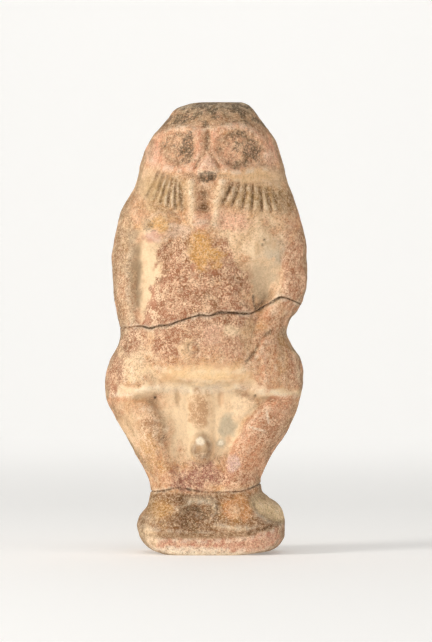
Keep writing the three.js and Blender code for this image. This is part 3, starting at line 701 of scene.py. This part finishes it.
# Grey along the bottom of the left recess beside the arm: painted shade.
lay(blob(-23.8, 90, 2.4, 17, 0.3), GREY * 0.75, 0.45)
lay(blob(20, 94, 7.4, 12, 0.4), CREAM, 0.75)
lay(blob(23, 101, 4.4, 5, 0.45), GREY + 0.08, 0.7)
lay(blob(17.6, 90, 4.6, 6, 0.5), 0.6 * GREY + 0.4 * TAN, 0.75)
paint(blob(12.6, 90, 2.4, 7, 0.5), 0.5 * PURPLE + 0.5 * TAN, 0.6)
lay(blob(9, 112, 7, 4, 0.45), SALMON + 0.05, 0.8)
paint(blob(24, 108, 4, 5, 0.6), CLAY, 0.6)
paint(blob(9.5, 96, 3.4, 6, 0.6), TAN, 0.6)
lay(blob(-25, 64, 7, 9, 0.5), CREAM, 0.7)
lay(blob(-2, 44, 15, 13, 0.25), 0.85 * CREAM + 0.15 * TAN, 1)
lay(blob(-22, 41, 7, 8, 0.5), CREAM, 0.7)
lay(blob(-24, 53.4, 11, 2, 0.25), CREAM, 0.9)
lay(blob(-1, 55.2, 17, 1.8, 0.25, soft=0.7), PALE, 0.7)
lay(blob(22, 53.2, 12, 1.7, 0.25), CREAM, 0.9)
lay(blob(12.6, 49, 4.4, 3.4, 0.3), CREAM + 0.03, 0.8)
lay(blob(14, 106, 10, 9, 0.5), CREAM, 0.6)
lay(blob(14, 106, 9, 9, 0.5) * ease(0.1 + 1.3 * clouds(X, Y, Z, 3, 21)), TAN, 0.7)
lay(blob(8.6, 111.6, 7, 4.4, 0.4), ROSE_CREAM, 0.85)
lay(blob(-18, 123, 6, 6, 0.4), 0.8 * CREAM + 0.2 * TAN, 0.8)
lay(blob(19, 125, 9, 3.4, 0.4), CREAM, 0.7)
# Golden band along the underside of the belly: its ochre-cream colour, made brighter as painted light where
# the underside turns down into shade.
lay(blob(-1, 59.4, 18, 3.6, 0.4, soft=0.8), GOLDEN, 0.85)

# Purple-red paint on chest, belly and limbs.
from_middle = np.abs(AT_X + 2.5 + 0.05 * (Z - 88))
chest = ease((19.6 - from_middle - 0.26 * (Z - 74) + 3 * clouds(X, Y, Z, 4, 6)) / 1.6)
chest = chest * ease((Z - 73) / 3) * ease((106 - Z) / 4) * FRONT
paint(chest, PURPLE, 0.95)
paint(chest * ease(0.1 + 1.4 * clouds(X, Y, Z, 3, 19)), 0.7 * BROWN, 0.5)
paint(chest * ease(-0.2 + 1.4 * clouds(X, Y, Z, 3.4, 20)), SALMON, 0.5)
paint(blob(-6, 72, 14, 5.6, 0.5, 2.4), PURPLE, 0.85)
paint(blob(-14, 68, 4.6, 5, 0.5, 2.4), PURPLE, 0.7)
paint(blob(9, 69, 4.4, 5, 0.5, 2.4), 0.6 * PURPLE + 0.4 * SALMON, 0.7)
lay(blob(2, 72.4, 3.6, 3.4, 0.5, 2.4), ROSE_PALE, 0.6)
paint(blob(6, 67, 9, 5, 0.5), SALMON * 0.9, 0.5)
paint(blob(-25.6, 71, 3.8, 4.6, 0.4), PURPLE, 0.9)
lay(blob(8.4, 74, 2.6, 2, 0.5), CREAM, 0.7)
lay(blob(14.4, 73, 2.6, 6, 0.4), TAN, 0.7)
lay(blob(-6.6, 67, 2.4, 4, 0.4), 0.3 * OCHRE + 0.7 * CREAM, 0.6)
paint(blob(22.6, 77.6, 4.6, 4.4, 0.35), RED, 0.9)
paint(blob(20, 67.6, 4.4, 6, 0.4), RED, 0.8)
paint(blob(28, 61, 4.4, 8, 0.4), OCHRE, 0.4)
lay(blob(30.5, 92, 4.8, 17, 0.35), SALMON, 0.5)
paint(blob(30.5, 92, 4.8, 17, 0.35), 0.5 * PURPLE + 0.5 * RED, 0.95)
paint(blob(-31.5, 92, 3.6, 20, 0.4), PURPLE, 0.4)
paint(blob(-28, 84, 4, 8, 0.6), RED, 0.35)

# Red right shin with its clean inner edge, browner left one, hips, plum between the ankles.
shin_edge = profile((22, 4.6), (27, 6), (32.3, 7.2), (38, 9.7), (44, 13.4), (52.3, 20.5))
shin = ease((AT_X - shin_edge(Z) + 0.5 * clouds(X, Y, Z, 2, 25)) / 1.2)
shin = shin * ease((53 - Z) / 1.5) * ease((Z - 22) / 2)
shin = shin * FRONT * ease((28 + 0.3 * (Z - 40) - AT_X) / 4)
lay(shin, SALMON + 0.03, 0.75)
paint(shin, RED, 0.75)
paint(blob(20, 41, 4.6, 5, 0.5), 0.5 * PURPLE + 0.5 * BROWN, 0.4)
paint(blob(-28, 49, 5, 4, 0.5), RED, 0.5)
paint(blob(-18, 41, 5, 7, 0.5), CLAY, 0.9)
paint(blob(-17, 42, 3.4, 4, 0.5), BROWN, 0.5)
paint(blob(-19, 33, 4, 5, 0.6, 2.4), 0.5 * OCHRE + 0.5 * TAN, 0.7)
lay(blob(-26, 44, 4, 7, 0.6, 2.4), TAN, 0.6)
lay(blob(-31.4, 61, 3.4, 7, 0.4, 2.4), SALMON, 0.5)
paint(blob(-31, 61, 4, 8, 0.4, 2.4), PURPLE, 0.85)
paint(blob(-26.6, 71.4, 3.4, 4.4, 0.5, 2.4), 0.8 * PURPLE, 0.7)
lay(blob(29.6, 61.6, 3.8, 7, 0.4, 2.4), SALMON, 0.5)
paint(blob(29.6, 61.6, 4.2, 7, 0.4, 2.4), 0.7 * PURPLE + 0.3 * RED, 0.85)
lay(streak([(24.8, 71.6), (26, 66), (26.4, 60)], 0.9) * ease(0.7 + mottle), OCHRE, 0.6)
lay(streak([(28.8, 68), (30.4, 63), (30.6, 58)], 0.5) * ease(0.6 + grain), CREAM, 0.7)
paint(blob(20, 60, 4.4, 5, 0.5, 2.4), 0.5 * RED + 0.5 * SALMON, 0.7)
lay(blob(-2.6, 25.5, 9, 4.2, 0.4), SALMON, 0.5)
paint(blob(-2.6, 25.5, 9, 4.2, 0.4), PLUM, 0.95)
paint(blob(11, 24, 7, 3.4, 0.5), PURPLE, 0.5)
lay(blob(9.3, 30, 2, 3, 0.4, 2, 4), LILAC, 0.6)

# Tail and its bulb, grey stains beside it, painted shade in the hollow inside the left knee, scratches on
# the shin.
lay(blob(-2, 47, 3.5, 6.4, 0.3, 2), TAN, 0.6)
paint(blob(-2, 47.4, 3.6, 6.2, 0.35, 2), 0.5 * BROWN + 0.5 * CLAY, 0.65)
lay(blob(-1.2, 35.3, 3.3, 4.4, 0.15), 0.7 * BROWN, 0.85)
lay(blob(-1.2, 34.8, 1.9, 2.6, 0.2), 0.8 * TAN, 0.6)
lay(blob(-1.6, 36.2, 2, 2.2, 0.2, 1.5), TAN, 0.5)
lay(blob(-2, 37.3, 1.3, 1.3, 0.3, 1.2), PALE, 0.8)
lay(blob(6.6, 42.4, 2.7, 3.6, 0.4), GREY, 0.8)
lay(blob(5, 36.6, 1.5, 1.7, 0.2, 1.2), GREY, 0.7)
lay(blob(5, 36.6, 0.9, 0.9, 0.2, 1.2), PALE, 0.9)
lay(blob(-9.4, 51.4, 0.9, 3, 0.3, 1.5), BROWN, 0.45)
lay(blob(5, 51.4, 1, 2.4, 0.3, 1.5), CLAY, 0.4)
# Grey along the hollow inside the left knee: painted shade.
lay(streak([(-18.7, 50), (-15.4, 46.6), (-13.7, 42), (-14.7, 37)], 1.2), GREY * 0.6, 0.45)
lay(streak([(14.6, 42), (19.3, 40.7)], 0.3), PALE, 0.8)
lay(streak([(20, 47.3), (20.7, 43.3)], 0.3), PALE, 0.7)

# Ochre on the chest, the breast and the mouth.
ochre_spot = np.maximum(blob(-2.4, 100.4, 4, 6, 0.45, 2.2), blob(3.4, 98.6, 3.6, 3, 0.5, 2))
lay(ochre_spot, OCHRE, 0.85)
lay(blob(-14.8, 108.3, 3.4, 2.8, 0.3, 2.2), OCHRE, 0.85)
lay(blob(-19.2, 108.2, 2, 2.6, 0.45, 1.6), 0.5 * BROWN + 0.5 * SOOT, 0.35)
thicken_dark_specks(blob(-19, 108, 2.4, 3, 0.5, 1.6), 0.6)
lay(blob(-17.6, 105, 3.2, 2, 0.35, 1.6), DUSKY_PINK, 0.8)
lay(blob(-9, 107, 3.4, 2.4, 0.5, 2), 0.5 * LILAC + 0.5 * CREAM, 0.6)
paint(blob(-7, 101.6, 3, 4, 0.6, 2), BROWN, 0.4)
paint(blob(-0.6, 121, 2, 1.6, 0.3, 1.5), OCHRE, 0.9)

# Face: salmon rims, dark speckled sockets and crown, with painted shade over the top of the crown.
paint(blob(2, 131, 22, 13, 0.2), SALMON, 0.7)
lay(blob(2, 129, 25, 12, 0.4), 0.8 * (0.6 * TAN + 0.4 * SALMON), 0.4)
lay(blob(14, 125, 9, 2.2, 0.3), 0.5 * OCHRE + 0.5 * CREAM, 0.7)
lay(blob(6, 139.6, 5, 1.6, 0.4), OCHRE, 0.4)
lay(blob(-17.8, 132.4, 2.8, 4, 0.2), SALMON + 0.1, 0.8)
lay(blob(21.8, 132.2, 3, 4, 0.2), SALMON + 0.1, 0.6)
lay(streak([(2.6, 139), (7, 141.4), (13, 141.4), (18.6, 138), (22.4, 133.6)], 1.5), ROSE, 0.6)
lay(streak([(-15.4, 138.6), (-16.4, 133), (-13.6, 128), (-8, 126.8), (-3.6, 127.4)], 1.5), ROSE, 0.55)
lay(streak([(-2.4, 139.4), (-2.6, 133), (-4, 128)], 1.3), ROSE, 0.5)
lay(streak([(3.2, 138), (2.6, 132.6), (5.4, 127.6), (11, 126.6)], 1.3), ROSE, 0.45)
speckle = ease(0.3 + 1.3 * clouds(X, Y, Z, 1.5, 9))
lay(EYES, 0.4 * TAN + 0.6 * SALMON, 0.7)
lay(EYES * speckle, OLIVE * 0.65, 0.5)
thicken_dark_specks(EYES * ease(0.3 + 1.5 * clouds(X, Y, Z, 1.6, 22)), 0.8)
lay(streak([(-11.4, 138), (-8, 138.4), (-5.2, 135.4), (-5.6, 131.6), (-8.6, 129.4)], 0.8), OLIVE * 0.5, 0.2)
lay(streak([(7, 138.2), (11, 138.4), (16, 136), (17, 132.6), (12.6, 129)], 0.8), OLIVE * 0.5, 0.2)
thicken_dark_specks(np.maximum(blob(-6, 134, 2.4, 4.4, 0.6, 2), blob(15.6, 133, 3, 4, 0.6, 2)), 0.9)
lay(blob(7.6, 131.4, 2.6, 3, 0.5, 2), SALMON, 0.5)
lay(CROWN, TAN * 0.76, 0.75)
lay(CROWN * ease(0.2 + 1.6 * clouds(X, Y, Z, 2, 10)), OLIVE * 0.5, 0.6)
lay(CROWN * ease(-0.3 + 1.6 * clouds(X, Y, Z, 2.2, 24)), SALMON, 0.5)
thicken_dark_specks(CROWN * ease(0.55 + 1.2 * clouds(X, Y, Z, 2.4, 23)), 1)
# Darker toward the top of the crown: painted shade where the top turns away from the light.
lay(ease((Z - 144.5) / 4), 0.5 * OLIVE, 0.6)
lay(streak([(0.8, 139), (0.6, 134)], 1), SOOT, 0.6)
lay(streak([(-0.6, 132), (-3.2, 127.6)], 0.7), BROWN, 0.4)
lay(streak([(1.8, 132), (4.4, 127.6)], 0.7), BROWN, 0.4)
# Lighter salmon on the crest of the nose: its pink paint with a painted highlight.
lay(blob(0.5, 128.8, 2.6, 2.6, 0.25, 1.5), SALMON + 0.08, 0.8)
nostril_pair = np.maximum(blob(-1.6, 124.2, 1.4, 1.1, 0.2, 1.2), blob(1.9, 124.6, 1.5, 1.2, 0.2, 1.2))
lay(nostril_pair, BROWN * 0.6, 0.4)
thicken_dark_specks(NOSTRILS, 1)

# Mane: olive-brown in the grooves, cream on the locks.
mane = panel(AT_X, Z, -12.8, 119, 8, 6.4) + panel(AT_X, Z, 16.4, 117.6, 12, 5)
lay(mane * FRONT, LOCKS, 0.75)
lay(mane_grooves(AT_X, Z) / STROKE_DEPTH * FRONT, GROOVES, 0.65)
lay(blob(25.6, 116.4, 3.6, 4, 0.4, 2), LOCKS_BROWN, 0.6)
lay(streak(LEFT_STRAND, 1.3), CREAM, 0.8)
lay(streak(RIGHT_STRAND, 1.4), CREAM, 0.7)
lay(streak([(-0.5, 119), (-0.6, 114)], 1.9), BROWN * 0.6, 0.65)
lay(blob(-1.3, 110, 2.8, 3.2, 0.25, 1.5), SALMON, 0.9)

# Feet and plinth.
lay(ease((20.8 - Z) / 1.5), 0.78 * BROWN, 0.85)
thicken_dark_specks(blob(-4, 13, 12, 6, 0.5), 0.5)
paint(blob(10, 14.6, 6, 4, 0.5), OCHRE, 0.35)
paint(blob(-15, 14, 6, 5, 0.5), OCHRE, 0.3)
lay(HOLLOW_FOOT * speckle, OLIVE, 0.7)
lay(streak([(-6, 17.6), (-1.4, 18.2), (2.6, 17.4), (3.6, 14.8)], 1.2), GREY, 0.75)
lay(streak([(3, 9.6), (12.6, 8.4)], 0.8), CREAM, 0.5)
band = ease((6 + ledge_rise(AT_X) - Z + 0.5 * clouds(X, Y, Z, 2, 3)) / 0.8) * ease(Z - 0.6) * FRONT
lay(band, SALMON, 0.95)
paint(band, BAND_RED, 0.8)
lay(blob(-19.6, 5, 4, 3.8, 0.3), CREAM, 0.8)
lay(blob(-6, 1.6, 16, 1.4, 0.4, 2), PALE, 0.7)
paint(blob(-14.5, 16, 5, 3.6, 0.4), OCHRE, 0.5)
paint(blob(10.5, 15.6, 4.4, 3.4, 0.4), OCHRE, 0.45)
lay(blob(5, 12, 3, 4, 0.4, 2), BROWN * 0.7, 0.5)
lay(blob(-12, 18.4, 6, 2, 0.4, 2), BROWN * 0.7, 0.6)
lay(blob(-5, 11.6, 5.6, 3.4, 0.5, 2), BROWN * 0.65, 0.6)
lay(blob(-16, 14.6, 3, 2.6, 0.4, 2), OCHRE * 0.8, 0.7)
lay(blob(10.5, 15, 4.6, 3.4, 0.4, 2), ORANGE, 0.75)
lay(streak([(4.4, 20), (4.2, 15.4)], 0.8), BROWN * 0.5, 0.6)
lay(ease(1.4 - Z), PALE, 0.8)
missing = np.exp(-((along_line(AT_X, Z, *CHIP_LINE)[0] / 3) ** 8)) * FRONT
lay(missing, CHIP_CREAM, 1)
lay(missing * ease(-0.1 + 1.4 * clouds(X, Y, Z, 2.4, 4)), OLIVE, 0.25)
lay(streak([(15.6, 16.4), (17.2, 13.6), (20.4, 11.2), (25.8, 9.8)], 0.4), SOOT, 0.5)

# Painted shade at the outline, where the surface turns away from the front, with the dark specks thicker
# there; dust on the plain back.
side = np.clip(1 - np.abs(N[:, :, 1]), 0, 1)
facing = ease(np.abs(N[:, :, 1]) * 2.2)
# Painted shade: darker where the surface turns side-on, broken up by a cloud.
painted_edge_shade = ease((side - 0.2) * 1.6) * ease(0.75 + 1.2 * clouds(X, Y, Z, 4, 12))
lay((1 - 0.8 * missing) * painted_edge_shade, 0.5 * OLIVE, 0.8)
# Dark specks thicker along the outline: painted shade.
thicken_dark_specks((1 - missing) * side * FRONT * ease(0.6 + mottle), 0.6)
lay(BEHIND * ease(0.2 + 1.1 * clouds(X, Y, Z, 9, 13)), CREAM, 0.5)
lay(BEHIND * ease(-0.1 + 1.2 * clouds(X, Y, Z, 5, 14)), BROWN, 0.4)

# Flecks of bared slip and of dirt, painted shade in the grooves and broad hollows, painted highlight on the
# ridges, dark breaks.
flecks = clouds(X, Y, Z, 0.8, 15, 2)
lay(ease((flecks - 0.12) / 0.5) * gritty, CREAM, 0.25)
lay(ease((-flecks - 0.12) / 0.5) * gritty, BROWN, 0.3)
# Painted shade in the fine grooves.
lay(ease((-FINE - 0.02) / 0.14) * facing * (0.35 + 0.65 * gritty), SOOT, 0.4)
# Painted shade in the broad hollows.
lay(ease((-BROAD - 0.2) / 1.2) * facing, OLIVE, 0.16)
# Pale on the ridges: painted highlight.
lay(ease(FINE / 0.14) * ease(0.6 + grain) * facing, PALE, 0.35)
uneven = 1 + 0.7 * noise(AT_X, Y, 0 * Z, 1.2, 6)
waist_width = 0.38 * uneven * lerp(0.55, 1, ease((26 - AT_X) / 8))
waist_line = np.exp(-(((rows - WAIST_ROW) / waist_width) ** 2)) * lerp(0.2, 1, ease((AT_X + 24) / 5))
ankle_line = np.exp(-(((rows - ANKLE_ROW) / (0.32 * uneven)) ** 2)) * ease(0.9 + grain)
lay(waist_line, SOOT * 0.3, 0.85)
lay(ankle_line, SOOT * 0.45, 0.75)
lay(streak([(-18, 6.8), (-8, 6.2), (0, 5.8), (13, 6.8)], 0.8), TAN, 0.4)
# Cream over the creases at the ends of the hands: painted light, lifting the shade that gathers there.
lay(np.maximum(blob(-17.4, 58.8, 2.6, 2.6, 0.3), blob(14.4, 56.2, 2.6, 1.8, 0.3)), CREAM, 0.6)
wrist_line = streak([(21.6, 74), (18.2, 71.2), (16.2, 67), (13.2, 63.4)], 0.45)
lay(wrist_line * ease(0.8 + grain), BROWN * 0.5, 0.6)
lay(sunk / 0.35, SOOT * 0.3, 0.9)
lay(crack / 0.24, SOOT * 0.35, 0.9)
lay(streak([(17, 81.4), (17.4, 82.4), (18.6, 83.2)], 0.55), SOOT * 0.5, 0.7)

# The underside takes one even colour from the ring round it.
for coat in (*coats.values(), dark_speck_cover, gritty):
    coat[0] = coat[0].mean(axis=0)

# Mesh of the figure: rings joined all round, closed at the crown and under the plinth.
points = np.dstack([X, Y, Z_SHAPED]).reshape(-1, 3)
row_count = len(rows)
ids = np.arange(row_count * COUNT).reshape(row_count, COUNT)
next_ids = np.roll(ids, -1, axis=1)
quads = np.stack([ids[:-1].ravel(), next_ids[:-1].ravel(), next_ids[1:].ravel(), ids[1:].ravel()], axis=1)
low, high = np.array(cad_box[0]) / MM, np.array(cad_box[1]) / MM
middle = (points.max(0) + points.min(0)) / 2
centre = (low + high) / 2
points = points + np.array([centre[0] - middle[0], centre[1] - middle[1], low[2] - points[:, 2].min()])
crown_point = points[ids[-1]].mean(0)
foot_point = points[ids[0]].mean(0)
points = np.vstack([points, crown_point, foot_point])
top_id, foot_id = len(points) - 2, len(points) - 1
caps = [(int(p), int(q), top_id) for p, q in zip(ids[-1], next_ids[-1])]
caps += [(int(q), int(p), foot_id) for p, q in zip(ids[0], next_ids[0])]
mesh = bpy.data.meshes.new("clay_body")
mesh.from_pydata((points * MM).tolist(), [], quads.tolist() + caps)
mesh.validate()
mesh.shade_smooth()
body = bpy.data.objects.new("clay_body", mesh)
bpy.context.scene.collection.objects.link(body)

for name, coat in coats.items():
    flat = np.vstack([coat.reshape(-1, 3), coat[-1].mean(0), coat[0].mean(0)])
    flat = np.hstack([flat, np.ones((len(flat), 1))])
    attribute = mesh.color_attributes.new(name, "FLOAT_COLOR", "POINT")
    attribute.data.foreach_set("color", flat.astype(np.float32).ravel())

for name, amount in (("dark_speck_cover", dark_speck_cover), ("grit", gritty)):
    flat = np.concatenate([amount.ravel(), [amount[-1].mean(), amount[0].mean()]])
    attribute = mesh.attributes.new(name, "FLOAT", "POINT")
    attribute.data.foreach_set("value", flat.astype(np.float32))


# Clay: painted ground colour, grit and mineral specks, hair-fine pitting.
def clay_material():
    material = bpy.data.materials.new("worn_clay")
    material.use_nodes = True
    nodes, links = material.node_tree.nodes, material.node_tree.links
    shader = nodes["Principled BSDF"]
    place = nodes.new("ShaderNodeTexCoord").outputs["Object"]

    def noise_node(scale, detail=4, roughness=0.6):
        node = nodes.new("ShaderNodeTexNoise")
        node.inputs["Scale"].default_value = scale
        node.inputs["Detail"].default_value = detail
        node.inputs["Roughness"].default_value = roughness
        links.new(place, node.inputs["Vector"])
        return node.outputs["Fac"]

    def ramp(source, low_at, high_at, low_value=0.0, high_value=1.0):
        node = nodes.new("ShaderNodeMapRange")
        node.interpolation_type = "SMOOTHSTEP"
        node.inputs["From Min"].default_value = low_at
        node.inputs["From Max"].default_value = high_at
        node.inputs["To Min"].default_value = low_value
        node.inputs["To Max"].default_value = high_value
        links.new(source, node.inputs["Value"])
        return node.outputs["Result"]

    def mix(factor, first, second):
        """The first colour, and the second over it as far as the factor goes."""
        node = nodes.new("ShaderNodeMix")
        node.data_type = "RGBA"
        links.new(factor, node.inputs[0])
        links.new(first, node.inputs[6])
        if isinstance(second, bpy.types.NodeSocket):
            links.new(second, node.inputs[7])
        else:
            node.inputs[7].default_value = (*second, 1)
        return node.outputs[2]

    def coat(name, output="Color"):
        """What the mesh carries at each point."""
        node = nodes.new("ShaderNodeAttribute")
        node.attribute_name = name
        return node.outputs[output]

    def combine(first, second, operation):
        node = nodes.new("ShaderNodeMath")
        node.operation = operation
        links.new(first, node.inputs[0])
        links.new(second, node.inputs[1])
        return node.outputs[0]

    def add(first, second):
        return combine(first, second, "ADD")

    def threads(source, half):
        """Thin winding lines, where the noise passes its middle."""
        return combine(ramp(source, 0.5 - half, 0.5), ramp(source, 0.5, 0.5 + half, 1.0, 0.0), "MULTIPLY")

    # Paint holds in flakes: many where the broad noise is high, few where it is low.
    flakes = add(noise_node(1900, 5, 0.75), ramp(noise_node(330, 3, 0.6), 0.3, 0.7, -0.07, 0.11))
    tone = mix(ramp(flakes, 0.44, 0.5), coat("slip"), coat("paint"))
    grit = coat("grit", "Fac")
    brown_specks = ramp(noise_node(1900, 5, 0.85), 0.52, 0.59, 0, 0.75)
    tone = mix(combine(brown_specks, grit, "MULTIPLY"), tone, BROWN)
    cream_specks = ramp(noise_node(1600, 5, 0.85), 0.54, 0.6, 0, 0.7)
    tone = mix(combine(cream_specks, grit, "MULTIPLY"), tone, CREAM)
    pale_threads = threads(noise_node(500, 4, 0.6), 0.022)
    tone = mix(combine(pale_threads, ramp(grit, 0, 1, 0, 0.6), "MULTIPLY"), tone, BARE)
    dark_speck_cover_here = coat("dark_speck_cover", "Fac")
    dark_threads = threads(noise_node(430, 4, 0.62), 0.024)
    tone = mix(combine(dark_threads, ramp(dark_speck_cover_here, 0, 1, 0.1, 1), "MULTIPLY"), tone, SOOT * 0.8)
    specks = add(noise_node(1700, 5, 0.72), ramp(dark_speck_cover_here, 0, 1, -0.05, 0.19))
    tone = mix(ramp(specks, 0.62, 0.68, 0, 0.65), tone, SOOT)
    links.new(tone, shader.inputs["Base Color"])
    links.new(ramp(noise_node(300), 0.3, 0.7, 0.82, 0.97), shader.inputs["Roughness"])
    shader.inputs["Specular IOR Level"].default_value = 0.25
    height = add(noise_node(1100, 5, 0.7), ramp(noise_node(480, 4, 0.6), 0.3, 0.6, 0, 1.2))
    bump = nodes.new("ShaderNodeBump")
    bump.inputs["Strength"].default_value = 0.55
    bump.inputs["Distance"].default_value = 0.00022
    links.new(height, bump.inputs["Height"])
    links.new(bump.outputs["Normal"], shader.inputs["Normal"])
    return material


mesh.materials.append(clay_material())
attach(body, "root")
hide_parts("figurine")


# White table and far backdrop, in one curved sheet.
SHEET_HALF_WIDTH = 3.0
SHEET_FRONT = -3.0
SHEET_TOP = 4.0
CURVE_START = 1.2
CURVE_RADIUS = 0.9
CURVE_STEPS = 12


def backdrop():
    run = [(SHEET_FRONT, 0.0), (CURVE_START, 0.0)]
    for k in range(CURVE_STEPS + 1):
        turn = np.pi / 2 * k / CURVE_STEPS
        run.append((CURVE_START + CURVE_RADIUS * np.sin(turn), CURVE_RADIUS - CURVE_RADIUS * np.cos(turn)))
    run.append((CURVE_START + CURVE_RADIUS, SHEET_TOP))
    vertices = [(x, y, z) for y, z in run for x in (-SHEET_HALF_WIDTH, SHEET_HALF_WIDTH)]
    faces = [(2 * i, 2 * i + 1, 2 * i + 3, 2 * i + 2) for i in range(len(run) - 1)]
    sheet = bpy.data.meshes.new("backdrop")
    sheet.from_pydata(vertices, [], faces)
    sheet.shade_smooth()
    thing = bpy.data.objects.new("backdrop", sheet)
    bpy.context.scene.collection.objects.link(thing)
    white = bpy.data.materials.new("white_table")
    white.use_nodes = True
    shader = white.node_tree.nodes["Principled BSDF"]
    shader.inputs["Base Color"].default_value = (0.9, 0.89, 0.87, 1)
    shader.inputs["Roughness"].default_value = 0.9
    shader.inputs["Emission Color"].default_value = (1, 0.99, 0.97, 1)
    shader.inputs["Emission Strength"].default_value = 0.2
    sheet.materials.append(white)
    return thing


backdrop()


FIGURE_MIDDLE = (0, 0, 0.075)


def lamp(name, place, size, power, tint=(1, 1, 1), target=FIGURE_MIDDLE):
    """Round area light aimed at the target."""
    data = bpy.data.lights.new(name, "AREA")
    data.shape = "DISK"
    data.size = size
    data.energy = power
    data.color = tint
    thing = bpy.data.objects.new(name, data)
    bpy.context.scene.collection.objects.link(thing)
    thing.location = place
    thing.rotation_euler = (Vector(target) - Vector(place)).to_track_quat("-Z", "Y").to_euler()


lamp("left", (-0.95, -0.5, 0.35), 0.4, 8.6, (1, 0.98, 0.95))
lamp("right", (1.0, -0.6, 0.05), 0.5, 4.8, (1, 0.99, 0.97))
lamp("low", (0.1, -0.9, 0.02), 0.5, 1.6)
lamp("top", (0.0, -0.3, 1.2), 0.8, 2)
lamp("wall", (0.0, 0.9, 1.2), 1.2, 6.5, target=(0, 2.1, 0.6))

world = bpy.data.worlds.new("room")
bpy.context.scene.world = world
world.use_nodes = True
world.node_tree.nodes["Background"].inputs["Color"].default_value = (1, 0.995, 0.985, 1)
world.node_tree.nodes["Background"].inputs["Strength"].default_value = 0.3
bpy.context.scene.view_settings.view_transform = "Standard"
